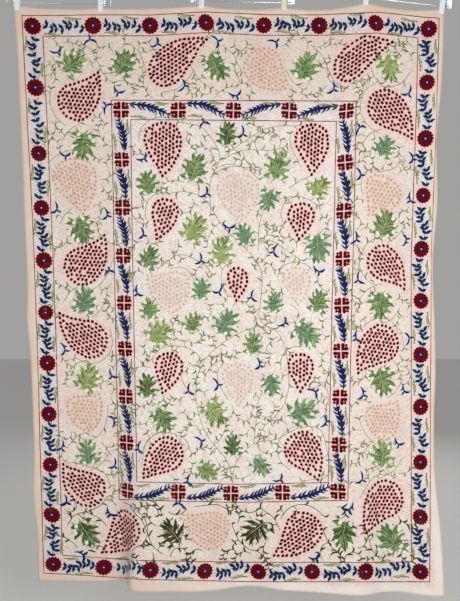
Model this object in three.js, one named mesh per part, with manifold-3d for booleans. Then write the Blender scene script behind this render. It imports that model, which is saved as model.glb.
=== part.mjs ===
// An embroidered bedspread hung by its top edge from three clip hangers.
// Millimetres. +X is to the right as seen from the front, +Y to the back, +Z up.
// The origin is the saddle of the middle hook, where a rail carries it.
import * as THREE from "three";
import { mergeVertices } from "three/addons/utils/BufferGeometryUtils.js";
import Module from "manifold-3d";

// Driving sizes of the cloth
const CLOTH_WIDTH = 1600;
const CLOTH_LENGTH = 2200;
const CLOTH_THICKNESS = 1.6;
const CLOTH_COLUMNS = 64;
const CLOTH_ROWS = 48;
const STEPS_PER_COLUMN = 6;
// How much of the length the folds take up at the left and right edge
const TAKE_UP_LEFT = 20;
const TAKE_UP_RIGHT = 8;

// The clips hold the cloth flat down to here, as a part of its length
const FLAT_TOP = 0.02;

// Side edges of the hung cloth: how far down, as a part of the length, and the place across
const LEFT_EDGE = [
  { down: 0.0, x: -851 },
  { down: 0.08, x: -840 },
  { down: 0.22, x: -827 },
  { down: 0.36, x: -817 },
  { down: 0.48, x: -808 },
  { down: 0.535, x: -810 },
  { down: 0.6, x: -798 },
  { down: 0.76, x: -788 },
  { down: 0.845, x: -795 },
  { down: 0.91, x: -787 },
  { down: 1.0, x: -790 },
];
const RIGHT_EDGE = [
  { down: 0.0, x: 745 },
  { down: 0.12, x: 738 },
  { down: 0.22, x: 723 },
  { down: 0.32, x: 731 },
  { down: 0.43, x: 717 },
  { down: 0.54, x: 726 },
  { down: 0.62, x: 730 },
  { down: 0.7, x: 725 },
  { down: 0.79, x: 729 },
  { down: 0.89, x: 747 },
  { down: 1.0, x: 756 },
];

// Sag of the top edge below a straight line, in each span from one clip to the next
const SPAN_SAGS = [7, 7, 12, 17, 13];

// Folds: place across the flat cloth at the hem, half width, depth at the hem (to the back is positive),
// where the fold starts and where it is full, as parts of the length, and how far it leans over the length
const FOLDS = [
  { across: 318, half: 110, depth: 20, start: 0.35, full: 1.0, lean: 0 },
  { across: 455, half: 110, depth: -8, start: 0.4, full: 0.9, lean: 0 },
  { across: 640, half: 130, depth: -10, start: 0.6, full: 1.0, lean: 60 },
  { across: 856, half: 150, depth: 34, start: 0.74, full: 1.0, lean: -560 },
  { across: 1240, half: 150, depth: -12, start: 0.3, full: 0.8, lean: 0 },
  { across: 1392, half: 110, depth: 22, start: 0.6, full: 1.0, lean: 0 },
  { across: 1540, half: 110, depth: -14, start: 0.6, full: 1.0, lean: 0 },
  { across: 500, half: 240, depth: -16, start: 0.03, full: 0.3, lean: 0 },
  { across: 905, half: 250, depth: 18, start: 0.05, full: 0.4, lean: -120 },
  { across: 1290, half: 220, depth: -14, start: 0.04, full: 0.35, lean: 0 },
  { across: 1600, half: 230, depth: 34, start: 0.05, full: 0.45, lean: 0 },
  { across: 1600, half: 170, depth: -44, start: 0.78, full: 1.0, lean: 0 },
];

// Step: near the hem the cloth to its left hangs this far behind the cloth to its right
const STEP = { left: 296, right: 436, depth: 78, start: 0.74, full: 1.08 };

// Driving sizes of a hanger, from its hook's saddle down
const HANGER_DROP = 165;
const BAR_RADIUS = 2;
const STOP_CENTRE = 180;
const STOP_WIDTH = 24;
const STOP_ABOVE_BAR = 11;
const STOP_BELOW_BAR = 7;
const BODY_THICKNESS = 9;
const BOSS_HALF_WIDTH = 13;
const BOSS_TOP = -64;
const BOSS_BOTTOM = -88;
const ARM_CLEARANCE = 10;
const ARM_HEIGHT = 10;
const ARM_RISE = 6;
const ARM_STEP = 2;
const ARM_DIP = 3;
const BODY_ROUNDING = 8;
const BAR_SOCKET_DEPTH = 16;
const SHANK_SOCKET_DEPTH = 16;

// Driving sizes of a hook
const HOOK_RADIUS = 20;
const HOOK_WIRE_RADIUS = 2;
const HOOK_TIP_TURN = 195;
const HOOK_ROOT_TURN = -25;
const HOOK_PATH_STEPS = 44;
const HOOK_ARC_POINTS = 12;
const SHANK_TOP = -54;

// Driving sizes of a clip
const CLIP_WIDTH = 19;
const JAW_LENGTH = 28;
const JAW_THICKNESS = 2.6;
const JAW_CHAMFER = 1;
const HANDLE_LENGTH = 25;
const HANDLE_SPREAD = 9;
const KNUCKLE_HALF_HEIGHT = 5;

// Space left between pieces that touch
const GAP = 0.3;

// Sides of a round rod or socket
const ROUND_SIDES = 20;

// Hangers: place of the hook's saddle, tilt in degrees (right end down), then for the left and right clip
// the place along the bar and how far below the bar's middle the cloth's edge lies
const HANGERS = [
  { side: "left", x: -681, z: -6, tilt: 1.2, clips: [{ along: -154, tuck: 10 }, { along: 155, tuck: 12 }] },
  { side: "middle", x: 0, z: 0, tilt: 0.9, clips: [{ along: -153, tuck: 13 }, { along: 153, tuck: 16 }] },
  { side: "right", x: 598, z: 1, tilt: 6.4, clips: [{ along: -125, tuck: 17 }, { along: 157, tuck: 10 }] },
];

const wasm = await Module();
wasm.setup();

// Materials
const embroideredCotton = new THREE.MeshStandardMaterial({ color: 0xd9c3b6, roughness: 0.95, metalness: 0 });
const clearPlastic = new THREE.MeshStandardMaterial({ color: 0xb4bac4, roughness: 0.25, metalness: 0 });
const whitePlastic = new THREE.MeshStandardMaterial({ color: 0xdde2e6, roughness: 0.4, metalness: 0 });
const brightSteel = new THREE.MeshStandardMaterial({ color: 0xb9bec2, roughness: 0.25, metalness: 1 });

// Joins and cuts

function solidOf(geometry) {
  const bare = geometry.clone();
  bare.deleteAttribute("normal");
  bare.deleteAttribute("uv");
  const merged = mergeVertices(bare, 1e-4);
  const vertProperties = new Float32Array(merged.attributes.position.array);
  const triVerts = new Uint32Array(merged.index.array);
  return new wasm.Manifold(new wasm.Mesh({ numProp: 3, vertProperties, triVerts }));
}

function geometryOf(solid) {
  const mesh = solid.getMesh();
  const geometry = new THREE.BufferGeometry();
  geometry.setAttribute("position", new THREE.Float32BufferAttribute(mesh.vertProperties, 3));
  geometry.setIndex(new THREE.Uint32BufferAttribute(mesh.triVerts, 1));
  geometry.computeVertexNormals();
  return geometry;
}

function namedMesh(name, geometry, material) {
  const mesh = new THREE.Mesh(geometry, material);
  mesh.name = name;
  return mesh;
}

// Curves of the hung cloth

function smoothRise(start, full, value) {
  const part = THREE.MathUtils.clamp((value - start) / (full - start), 0, 1);
  return part * part * (3 - 2 * part);
}

function bell(part) {
  return Math.abs(part) < 1 ? 0.5 + 0.5 * Math.cos(Math.PI * part) : 0;
}

// A smooth curve through the rows of an edge table
function edgeAt(rows, down) {
  const next = Math.max(1, rows.findIndex((row) => row.down >= down));
  const rowAt = (index) => rows[THREE.MathUtils.clamp(index, 0, rows.length - 1)];
  const slopeAt = (index) => {
    const span = rowAt(index + 1).down - rowAt(index - 1).down;
    return (rowAt(index + 1).x - rowAt(index - 1).x) / span;
  };
  const from = rowAt(next - 1);
  const to = rowAt(next);
  const span = to.down - from.down;
  const part = (down - from.down) / span;
  const rest = 1 - part;
  const fromWeight = (1 + 2 * part) * rest * rest;
  const toWeight = (3 - 2 * part) * part * part;
  const fromSlope = part * rest * rest * span * slopeAt(next - 1);
  const toSlope = part * part * rest * span * slopeAt(next);
  return from.x * fromWeight + to.x * toWeight + fromSlope - toSlope;
}

// Depth of the cloth behind the hanging plane, at a place on the flat cloth
function foldDepth(across, down) {
  const behind = 1 - smoothRise(STEP.left, STEP.right, across);
  let depth = STEP.depth * behind * smoothRise(STEP.start, STEP.full, down);
  for (const fold of FOLDS) {
    const centre = fold.across + fold.lean * (1 - down);
    depth += fold.depth * bell((across - centre) / fold.half) * smoothRise(fold.start, fold.full, down);
  }
  return depth * smoothRise(FLAT_TOP, 4 * FLAT_TOP, down);
}

// Places where the clips grip the cloth's top edge
const grips = HANGERS.flatMap((hanger) => {
  const tilt = THREE.MathUtils.degToRad(hanger.tilt);
  return hanger.clips.map((clip) => {
    const below = -HANGER_DROP - clip.tuck;
    const x = hanger.x + clip.along * Math.cos(tilt) + below * Math.sin(tilt);
    const z = hanger.z - clip.along * Math.sin(tilt) + below * Math.cos(tilt);
    return { x, z };
  });
});

// Height of the cloth's top edge, which sags from clip to clip
function topEdgeAt(x) {
  const last = grips.length - 1;
  if (x <= grips[0].x) return grips[0].z;
  if (x >= grips[last].x) return grips[last].z;
  const next = grips.findIndex((grip) => grip.x >= x);
  const from = grips[next - 1];
  const to = grips[next];
  const part = (x - from.x) / (to.x - from.x);
  return THREE.MathUtils.lerp(from.z, to.z, part) - 4 * SPAN_SAGS[next - 1] * part * (1 - part);
}

// One row of points across the cloth. The cloth doesn't stretch, so a steep fold takes up width.
function clothRow(down) {
  const left = edgeAt(LEFT_EDGE, down);
  const right = edgeAt(RIGHT_EDGE, down);
  const steps = CLOTH_COLUMNS * STEPS_PER_COLUMN;
  const stepWidth = CLOTH_WIDTH / steps;
  const reach = [0];
  for (let step = 1; step <= steps; step += 1) {
    const before = foldDepth((step - 1) * stepWidth, down);
    const after = foldDepth(step * stepWidth, down);
    const slope = (after - before) / stepWidth;
    reach.push(reach[step - 1] + Math.sqrt(Math.max(0.1, 1 - slope * slope)));
  }
  const topLeft = topEdgeAt(LEFT_EDGE[0].x);
  const topRight = topEdgeAt(RIGHT_EDGE[0].x);
  const topMiddle = (topLeft + topRight) / 2;
  const hemLeft = topLeft - CLOTH_LENGTH + TAKE_UP_LEFT;
  const hemRight = topRight - CLOTH_LENGTH + TAKE_UP_RIGHT;
  const row = [];
  for (let column = 0; column <= CLOTH_COLUMNS; column += 1) {
    const part = column / CLOTH_COLUMNS;
    const x = left + ((right - left) * reach[column * STEPS_PER_COLUMN]) / reach[steps];
    const topX = THREE.MathUtils.lerp(LEFT_EDGE[0].x, RIGHT_EDGE[0].x, part);
    const scallop = (topEdgeAt(topX) - topMiddle) * (1 - down) ** 2;
    const hem = THREE.MathUtils.lerp(hemLeft, hemRight, part);
    const z = THREE.MathUtils.lerp(topMiddle, hem, down) + scallop;
    row.push(new THREE.Vector3(x, foldDepth(part * CLOTH_WIDTH, down), z));
  }
  return row;
}

// The bedspread: one closed sheet, its front and back half a thickness from the middle surface
function bedspread() {
  const rows = [];
  for (let row = 0; row <= CLOTH_ROWS; row += 1) rows.push(clothRow(row / CLOTH_ROWS));
  const pointAt = (row, column) => {
    const safeRow = THREE.MathUtils.clamp(row, 0, CLOTH_ROWS);
    return rows[safeRow][THREE.MathUtils.clamp(column, 0, CLOTH_COLUMNS)];
  };
  const positions = [];
  for (const side of [-1, 1]) {
    for (let row = 0; row <= CLOTH_ROWS; row += 1) {
      for (let column = 0; column <= CLOTH_COLUMNS; column += 1) {
        const across = pointAt(row, column + 1).clone().sub(pointAt(row, column - 1));
        const upward = pointAt(row - 1, column).clone().sub(pointAt(row + 1, column));
        const backward = upward.cross(across).normalize();
        const point = pointAt(row, column).clone().addScaledVector(backward, (side * CLOTH_THICKNESS) / 2);
        positions.push(point.x, point.y, point.z);
      }
    }
  }
  const perRow = CLOTH_COLUMNS + 1;
  const perSide = perRow * (CLOTH_ROWS + 1);
  const indices = [];
  const quad = (a, b, c, d) => indices.push(a, b, c, a, c, d);
  for (let row = 0; row < CLOTH_ROWS; row += 1) {
    for (let column = 0; column < CLOTH_COLUMNS; column += 1) {
      const a = row * perRow + column;
      quad(a, a + perRow, a + perRow + 1, a + 1);
      quad(perSide + a, perSide + a + 1, perSide + a + perRow + 1, perSide + a + perRow);
    }
  }
  for (let column = 0; column < CLOTH_COLUMNS; column += 1) {
    const top = column;
    const bottom = CLOTH_ROWS * perRow + column;
    quad(top, top + 1, perSide + top + 1, perSide + top);
    quad(bottom + 1, bottom, perSide + bottom, perSide + bottom + 1);
  }
  for (let row = 0; row < CLOTH_ROWS; row += 1) {
    const left = row * perRow;
    const right = left + CLOTH_COLUMNS;
    quad(left + perRow, left, perSide + left, perSide + left + perRow);
    quad(right, right + perRow, perSide + right + perRow, perSide + right);
  }
  const geometry = new THREE.BufferGeometry();
  geometry.setAttribute("position", new THREE.Float32BufferAttribute(positions, 3));
  geometry.setIndex(indices);
  geometry.computeVertexNormals();
  return namedMesh("bedspread", geometry, embroideredCotton);
}

// A round rod along X, centred on the origin
function rodAlongX(radius, length) {
  return new THREE.CylinderGeometry(radius, radius, length, ROUND_SIDES).rotateZ(Math.PI / 2);
}

// The clear moulding: a boss in the middle, two arms, and an end block that takes the bar's end
function hangerBody(name) {
  const stopInner = STOP_CENTRE - STOP_WIDTH / 2;
  const stopOuter = STOP_CENTRE + STOP_WIDTH / 2;
  const stopTop = -HANGER_DROP + STOP_ABOVE_BAR;
  const stopBottom = -HANGER_DROP - STOP_BELOW_BAR;
  const shoulderInner = -HANGER_DROP + HANDLE_LENGTH + ARM_CLEARANCE;
  const shoulderOuter = shoulderInner + ARM_HEIGHT;
  const armFoot = stopInner + ARM_STEP;
  const armTop = shoulderOuter + ARM_RISE;
  const outline = new THREE.Shape();
  outline.moveTo(-BOSS_HALF_WIDTH, BOSS_BOTTOM);
  outline.lineTo(BOSS_HALF_WIDTH, BOSS_BOTTOM);
  outline.lineTo(stopInner - BODY_ROUNDING, shoulderInner);
  outline.quadraticCurveTo(armFoot, shoulderInner - ARM_DIP, armFoot, stopTop + ARM_DIP);
  outline.lineTo(stopInner, stopTop);
  outline.lineTo(stopInner, stopBottom);
  outline.lineTo(stopOuter, stopBottom);
  outline.lineTo(stopOuter, stopTop);
  outline.quadraticCurveTo(stopOuter, shoulderOuter, stopInner - BODY_ROUNDING, armTop);
  outline.lineTo(BOSS_HALF_WIDTH, BOSS_TOP);
  outline.lineTo(-BOSS_HALF_WIDTH, BOSS_TOP);
  outline.lineTo(-stopInner + BODY_ROUNDING, armTop);
  outline.quadraticCurveTo(-stopOuter, shoulderOuter, -stopOuter, stopTop);
  outline.lineTo(-stopOuter, stopBottom);
  outline.lineTo(-stopInner, stopBottom);
  outline.lineTo(-stopInner, stopTop);
  outline.lineTo(-armFoot, stopTop + ARM_DIP);
  outline.quadraticCurveTo(-armFoot, shoulderInner - ARM_DIP, -stopInner + BODY_ROUNDING, shoulderInner);
  const plate = new THREE.ExtrudeGeometry(outline, {
    depth: BODY_THICKNESS,
    bevelEnabled: false,
    curveSegments: 8,
  });
  plate.rotateX(Math.PI / 2).translate(0, BODY_THICKNESS / 2, 0);
  const socketLength = 2 * (stopInner + BAR_SOCKET_DEPTH + GAP);
  const barSocket = rodAlongX(BAR_RADIUS + GAP, socketLength).translate(0, 0, -HANGER_DROP);
  const shankSocket = rodAlongX(HOOK_WIRE_RADIUS + GAP, 2 * SHANK_SOCKET_DEPTH);
  shankSocket.rotateY(Math.PI / 2).translate(0, 0, BOSS_TOP);
  const body = solidOf(plate).subtract(solidOf(barSocket)).subtract(solidOf(shankSocket));
  return namedMesh(name, geometryOf(body), clearPlastic);
}

// The bar between the end blocks
function hangerBar(name) {
  const length = 2 * (STOP_CENTRE - STOP_WIDTH / 2 + BAR_SOCKET_DEPTH);
  return namedMesh(name, rodAlongX(BAR_RADIUS, length).translate(0, 0, -HANGER_DROP), brightSteel);
}

// The hook: a wire from the boss up and over the rail, in the plane across the bar
function hangerHook(name) {
  const centreZ = HOOK_WIRE_RADIUS - HOOK_RADIUS;
  const shankFoot = BOSS_TOP - SHANK_SOCKET_DEPTH + GAP;
  const points = [
    new THREE.Vector3(0, 0, shankFoot),
    new THREE.Vector3(0, 0, (shankFoot + SHANK_TOP) / 2),
    new THREE.Vector3(0, 0, SHANK_TOP),
    new THREE.Vector3(0, HOOK_RADIUS * 0.42, SHANK_TOP + HOOK_RADIUS * 0.62),
  ];
  for (let point = 0; point < HOOK_ARC_POINTS; point += 1) {
    const part = point / (HOOK_ARC_POINTS - 1);
    const turn = THREE.MathUtils.degToRad(THREE.MathUtils.lerp(HOOK_ROOT_TURN, HOOK_TIP_TURN, part));
    points.push(new THREE.Vector3(0, HOOK_RADIUS * Math.cos(turn), centreZ + HOOK_RADIUS * Math.sin(turn)));
  }
  const section = new THREE.Shape();
  section.absarc(0, 0, HOOK_WIRE_RADIUS, 0, 2 * Math.PI);
  const geometry = new THREE.ExtrudeGeometry(section, {
    steps: HOOK_PATH_STEPS,
    curveSegments: 5,
    extrudePath: new THREE.CatmullRomCurve3(points, false, "centripetal"),
  });
  return namedMesh(name, geometry, brightSteel);
}

// One jaw of a clip, seen along the bar: grip below the bar, knuckle round it, finger tab above
function clipJaw(name, side) {
  const inner = CLOTH_THICKNESS / 2 + GAP;
  const groove = BAR_RADIUS + GAP;
  const grooveTurn = Math.asin(inner / groove);
  const grooveHalf = groove * Math.cos(grooveTurn);
  const outer = inner + JAW_THICKNESS;
  const knuckle = groove + JAW_THICKNESS;
  const outline = new THREE.Shape();
  outline.moveTo(inner, -JAW_LENGTH);
  outline.lineTo(inner, -grooveHalf);
  outline.absarc(0, 0, groove, grooveTurn - Math.PI / 2, Math.PI / 2 - grooveTurn, false);
  outline.lineTo(inner, KNUCKLE_HALF_HEIGHT);
  outline.lineTo(HANDLE_SPREAD, HANDLE_LENGTH);
  outline.lineTo(HANDLE_SPREAD + JAW_THICKNESS, HANDLE_LENGTH - JAW_CHAMFER);
  outline.lineTo(knuckle, KNUCKLE_HALF_HEIGHT);
  outline.lineTo(knuckle, -KNUCKLE_HALF_HEIGHT);
  outline.lineTo(outer, -2 * KNUCKLE_HALF_HEIGHT);
  outline.lineTo(outer, -JAW_LENGTH + 2 * JAW_CHAMFER);
  outline.lineTo(outer - JAW_CHAMFER, -JAW_LENGTH);
  const geometry = new THREE.ExtrudeGeometry(outline, {
    depth: CLIP_WIDTH,
    bevelEnabled: false,
    curveSegments: 8,
  });
  geometry.translate(0, 0, -CLIP_WIDTH / 2);
  geometry.rotateX(Math.PI / 2).rotateZ((side * Math.PI) / 2);
  return namedMesh(name, geometry, whitePlastic);
}

const object = new THREE.Group();
object.add(bedspread());

let clipNumber = 0;
for (const hanger of HANGERS) {
  const group = new THREE.Group();
  group.position.set(hanger.x, 0, hanger.z);
  group.rotation.y = THREE.MathUtils.degToRad(hanger.tilt);
  group.add(hangerBody(`hanger_body_${hanger.side}`));
  group.add(hangerBar(`hanger_bar_${hanger.side}`));
  group.add(hangerHook(`hanger_hook_${hanger.side}`));
  for (const clip of hanger.clips) {
    clipNumber += 1;
    const clipGroup = new THREE.Group();
    clipGroup.position.set(clip.along, 0, -HANGER_DROP);
    clipGroup.add(clipJaw(`clip_${clipNumber}_front`, -1));
    clipGroup.add(clipJaw(`clip_${clipNumber}_back`, 1));
    group.add(clipGroup);
  }
  object.add(group);
}

export default object;
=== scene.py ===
"""An embroidered bedspread hung from three clip hangers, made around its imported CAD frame."""

import math
from collections import namedtuple

import bmesh
import bpy
import numpy as np
from bpy.props import FloatProperty, FloatVectorProperty, PointerProperty
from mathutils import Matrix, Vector


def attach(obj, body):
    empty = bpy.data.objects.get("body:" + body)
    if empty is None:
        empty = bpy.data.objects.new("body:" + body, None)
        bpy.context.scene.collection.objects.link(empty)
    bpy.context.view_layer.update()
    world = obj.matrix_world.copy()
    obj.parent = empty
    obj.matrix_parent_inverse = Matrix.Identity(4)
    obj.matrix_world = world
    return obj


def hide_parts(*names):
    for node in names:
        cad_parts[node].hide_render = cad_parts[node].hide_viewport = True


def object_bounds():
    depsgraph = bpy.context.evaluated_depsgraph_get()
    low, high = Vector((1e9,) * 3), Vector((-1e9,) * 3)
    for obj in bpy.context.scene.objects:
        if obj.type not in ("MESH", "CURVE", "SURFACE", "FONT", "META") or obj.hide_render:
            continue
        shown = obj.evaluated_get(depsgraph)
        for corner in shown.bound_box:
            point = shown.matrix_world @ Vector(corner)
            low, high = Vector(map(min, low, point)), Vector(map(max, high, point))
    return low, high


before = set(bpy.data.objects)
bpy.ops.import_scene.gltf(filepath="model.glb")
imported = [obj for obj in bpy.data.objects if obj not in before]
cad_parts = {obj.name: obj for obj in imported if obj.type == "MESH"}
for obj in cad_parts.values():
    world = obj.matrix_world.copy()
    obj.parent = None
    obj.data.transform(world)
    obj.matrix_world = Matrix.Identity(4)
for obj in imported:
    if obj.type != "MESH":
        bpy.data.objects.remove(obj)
CAD_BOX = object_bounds()

bl_info = {
    "name": "Embroidered bedspread",
    "version": (1, 0, 0),
    "blender": (4, 5, 0),
    "location": "View3D > Sidebar > Bedspread",
    "description": "Hangs an embroidered bedspread from three clip hangers",
    "category": "Object",
}

# Sizes here are in millimetres, and Blender's are in metres
MM = 0.001

# The cloth, flat and hung, as in the part's source
CLOTH_WIDTH = 1600
CLOTH_LENGTH = 2200
TAKE_UP_LEFT = 20
TAKE_UP_RIGHT = 8
FLAT_TOP = 0.02
COLUMNS = 160
ROWS = 220
STEPS_PER_COLUMN = 4

# Where the photograph was taken from, and the hung cloth's corners as it shows them in the hanging plane
EYE = (-49.7, -3000, -1193.2)
READ_SIZE = (1600, 2220)
READ_CORNERS = ((-849, -184), (744, -191), (757, -2387), (-780, -2341))
READ_ROUNDS = 14

# Lifts from the cloth's middle surface: its face, a stitch's rim inside it, and the stitches' backs
FACE = 0.6
RIM = 0.55
BACK = -0.8
BACK_SPREAD = 0.3
BACK_STEP = 0.618

# Height of a padded patch's shoulder, as a share of its full height
SHOULDER = 0.85

# Side edges: share of the way down, and place across
EdgePoint = namedtuple("EdgePoint", "down x")
LEFT_EDGE = [
    EdgePoint(0, -851), EdgePoint(0.08, -840), EdgePoint(0.22, -827), EdgePoint(0.36, -817),
    EdgePoint(0.48, -808), EdgePoint(0.535, -810), EdgePoint(0.6, -798), EdgePoint(0.76, -788),
    EdgePoint(0.845, -795), EdgePoint(0.91, -787), EdgePoint(1, -790),
]
RIGHT_EDGE = [
    EdgePoint(0, 745), EdgePoint(0.12, 738), EdgePoint(0.22, 723), EdgePoint(0.32, 731),
    EdgePoint(0.43, 717), EdgePoint(0.54, 726), EdgePoint(0.62, 730), EdgePoint(0.7, 725),
    EdgePoint(0.79, 729), EdgePoint(0.89, 747), EdgePoint(1, 756),
]

# Folds: place across, half width, depth to the back, where they start and are full, and their lean
Fold = namedtuple("Fold", "across half depth start full lean")
FOLDS = [
    Fold(318, 110, 20, 0.35, 1, 0),
    Fold(455, 110, -8, 0.4, 0.9, 0),
    Fold(640, 130, -10, 0.6, 1, 60),
    Fold(856, 150, 34, 0.74, 1, -560),
    Fold(1240, 150, -12, 0.3, 0.8, 0),
    Fold(1392, 110, 22, 0.6, 1, 0),
    Fold(1540, 110, -14, 0.6, 1, 0),
    Fold(500, 240, -16, 0.03, 0.3, 0),
    Fold(905, 250, 18, 0.05, 0.4, -120),
    Fold(1290, 220, -14, 0.04, 0.35, 0),
    Fold(1600, 230, 34, 0.05, 0.45, 0),
    Fold(1600, 170, -44, 0.78, 1, 0),
]

# Step: near the hem the cloth to its left hangs this far behind the cloth to its right
Step = namedtuple("Step", "left right depth start full")
STEP = Step(296, 436, 78, 0.74, 1.08)

# Small creases: the upper end, length, half width, depth, and turn from straight down in degrees
Crease = namedtuple("Crease", "across down length half depth turn")
CREASES = [
    Crease(0, 1148, 330, 16, 3.2, -88),
    Crease(0, 1322, 260, 14, 2.8, -93),
    Crease(1600, 1135, 420, 15, 2.2, 91),
    Crease(60, 40, 240, 20, -2.4, -14),
    Crease(330, 40, 260, 22, 2.6, 12),
    Crease(372, 40, 220, 18, -2.2, -12),
    Crease(715, 40, 250, 22, 2.4, 10),
    Crease(756, 40, 230, 18, -2, -13),
    Crease(1015, 45, 240, 20, 2.4, 12),
    Crease(1056, 45, 200, 18, -2.2, -12),
    Crease(1320, 40, 260, 20, 2.4, 14),
    Crease(1545, 40, 280, 22, 2.6, 13),
    Crease(800, 420, 1300, 26, 1.6, 2),
    Crease(1180, 900, 700, 24, -1.8, -3),
    Crease(250, 1500, 520, 22, 2.6, -6),
    Crease(930, 1760, 420, 26, 3, -5),
    Crease(1450, 1500, 600, 26, -2.6, 4),
]

# Sag of the top edge between each clip and the next
SPAN_SAGS = [7, 7, 12, 17, 13]

# Hangers: the hook's saddle, tilt in degrees, and for each clip its place along the bar and the tuck below
Clip = namedtuple("Clip", "along tuck")
Hanger = namedtuple("Hanger", "side x z tilt clips")
HANGER_DROP = 165
HANGERS = [
    Hanger("left", -681, -6, 1.2, (Clip(-154, 10), Clip(155, 12))),
    Hanger("middle", 0, 0, 0.9, (Clip(-153, 13), Clip(153, 16))),
    Hanger("right", 598, 1, 6.4, (Clip(-125, 17), Clip(157, 10))),
]

# The clips' jaws, counted from the left, and those that have yellowed
CLIP_COUNT = sum(len(hanger.clips) for hanger in HANGERS)
JAWS = [f"{number}_{side}" for number in range(1, CLIP_COUNT + 1) for side in ("front", "back")]
YELLOWED_JAWS = ("4_front", "4_back")

# Sides of a border as read off the photograph: the places that its line goes through, and the motifs' stops
Side = namedtuple("Side", "name level line stops")
OUTER_SIDES = [
    Side("top", True,
         ((66, 69), (295, 66), (510, 65), (720, 53), (935, 62), (1140, 62), (1350, 52), (1543, 72)),
         (66, 295, 510, 720, 935, 1140, 1350, 1543)),
    Side("bottom", True, ((70, 2139), (440, 2152), (800, 2148), (1510, 2127)),
         (70, 270, 455, 670, 880, 1090, 1300, 1510)),
    Side("left", False, ((66, 66), (905, 77), (1300, 76), (2139, 70)),
         (66, 295, 540, 745, 945, 1145, 1340, 1540, 1740, 1940, 2139)),
    Side("right", False, ((70, 1543), (470, 1531), (905, 1514), (1700, 1511), (2127, 1510)),
         (70, 265, 470, 680, 880, 1075, 1280, 1480, 1695, 1910, 2127)),
]
ROSETTE_SIZE = 64
OUTER_LINE_OFFSET = 38

# Sprigs and sprouts of the outer border: pairs of leaflets, room to the rosettes, and how far they slant
SPRIG_PAIRS = 8
SPRIG_INSET = 34
SPRIG_SLANT = 9
SPROUT_INSET = 42
SPROUT_OFFSET = 27

# Sides of the inner frame, read in the same way, and its corners
FRAME_SIDES = [
    Side("top", True, ((392, 375), (1238, 372)), (392, 608, 816, 1025, 1238)),
    Side("bottom", True, ((374, 1836), (800, 1836), (1194, 1818)), (374, 573, 778, 979, 1194)),
    Side("left", False, ((375, 392), (922, 384), (1836, 374)),
         (375, 560, 740, 922, 1102, 1279, 1464, 1646, 1836)),
    Side("right", False, ((372, 1238), (930, 1220), (1640, 1199), (1818, 1194)),
         (372, 561, 742, 921, 1098, 1272, 1450, 1635, 1818)),
]
FLORET_SIZE = 60
FRAME_LINE_OFFSET = 36
FRAME_LOW = (384, 374)
FRAME_HIGH = (1215, 1830)

# Feather sprays and sprouts of the frame: barbs on a side, room to the florets, and how far they slant
SPRAY_BARBS = 10
LEVEL_SPRAY_INSET = 27
TOP_SPRAY_SLANTS = (24, 20)
BOTTOM_SPRAY_SLANT = 22
UPRIGHT_SPRAY_INSET = 29
UPRIGHT_SPRAY_SLANT = (13, 0)
FRAME_SPROUT_INSET = 36
FRAME_SPROUT_OFFSET = 24

# Along the top of the frame, the sprays beyond this place across point the other way
TURNING_STOP = 650

# Barbs on the longer and the shorter side of a spray: reach, and angle from its spine in degrees
LONG_BARBS = (31, 56)
SHORT_BARBS = (24, 46)

# Tones of the cotton: where its margin ends and its outer band starts, tanner up the band, paler at its foot
MARGIN_RISE = (22, 42)
BAND_RISE = (-40, 60)
TAN = (0.4, 0.35)
TAN_RISE = (440, 120)
PALE_FOOT = 0.7
PALE_RISE_DOWN = (1400, 2150)
PALE_RISE_ACROSS = (200, 1100)

# Bunches as read off the photograph: middle of the round end, tip, width, and the tip's bend in degrees
Bunch = namedtuple("Bunch", "x y tip_x tip_y width bend")
GRAPE_BUNCHES = [
    Bunch(225, 345, 312, 225, 150, -40), Bunch(566, 222, 740, 112, 142, 38),
    Bunch(1252, 204, 1428, 118, 130, 36), Bunch(1385, 360, 1486, 484, 145, 40),
    Bunch(225, 965, 318, 832, 148, -42), Bunch(1375, 935, 1455, 1042, 138, 40),
    Bunch(240, 1245, 124, 1136, 148, 36), Bunch(1365, 1240, 1270, 1370, 146, -38),
    Bunch(215, 1835, 118, 1726, 142, 36), Bunch(370, 1985, 250, 2094, 146, 32),
    Bunch(1060, 1975, 928, 2084, 146, 32), Bunch(1375, 1840, 1298, 1998, 148, -38),
    Bunch(547, 490, 540, 632, 150, 22), Bunch(1108, 485, 1102, 618, 136, 25),
    Bunch(548, 755, 505, 868, 108, 36), Bunch(1065, 765, 1053, 860, 110, 16),
    Bunch(820, 1000, 808, 1098, 86, 26), Bunch(548, 1345, 515, 1460, 114, 22),
    Bunch(1055, 1335, 1050, 1442, 106, 12), Bunch(528, 1690, 430, 1794, 140, -22),
    Bunch(1060, 1660, 1120, 1786, 148, 28),
]
PALE_BUNCHES = [
    Bunch(930, 215, 1040, 300, 150, -30), Bunch(210, 640, 235, 775, 175, 20),
    Bunch(830, 690, 830, 800, 170, 10), Bunch(1370, 680, 1310, 760, 150, 30),
    Bunch(555, 1050, 470, 990, 165, 30), Bunch(1045, 1010, 1050, 1110, 115, 10),
    Bunch(815, 1390, 810, 1500, 130, 15), Bunch(225, 1520, 275, 1450, 155, -30),
    Bunch(1375, 1530, 1425, 1455, 155, -30), Bunch(700, 1985, 565, 1915, 150, 30),
]
GRAPE_PITCH = 14.3
GRAPE_SIZE = 5.65
PALE_GRAPE_SIZE = 4.6

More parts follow.
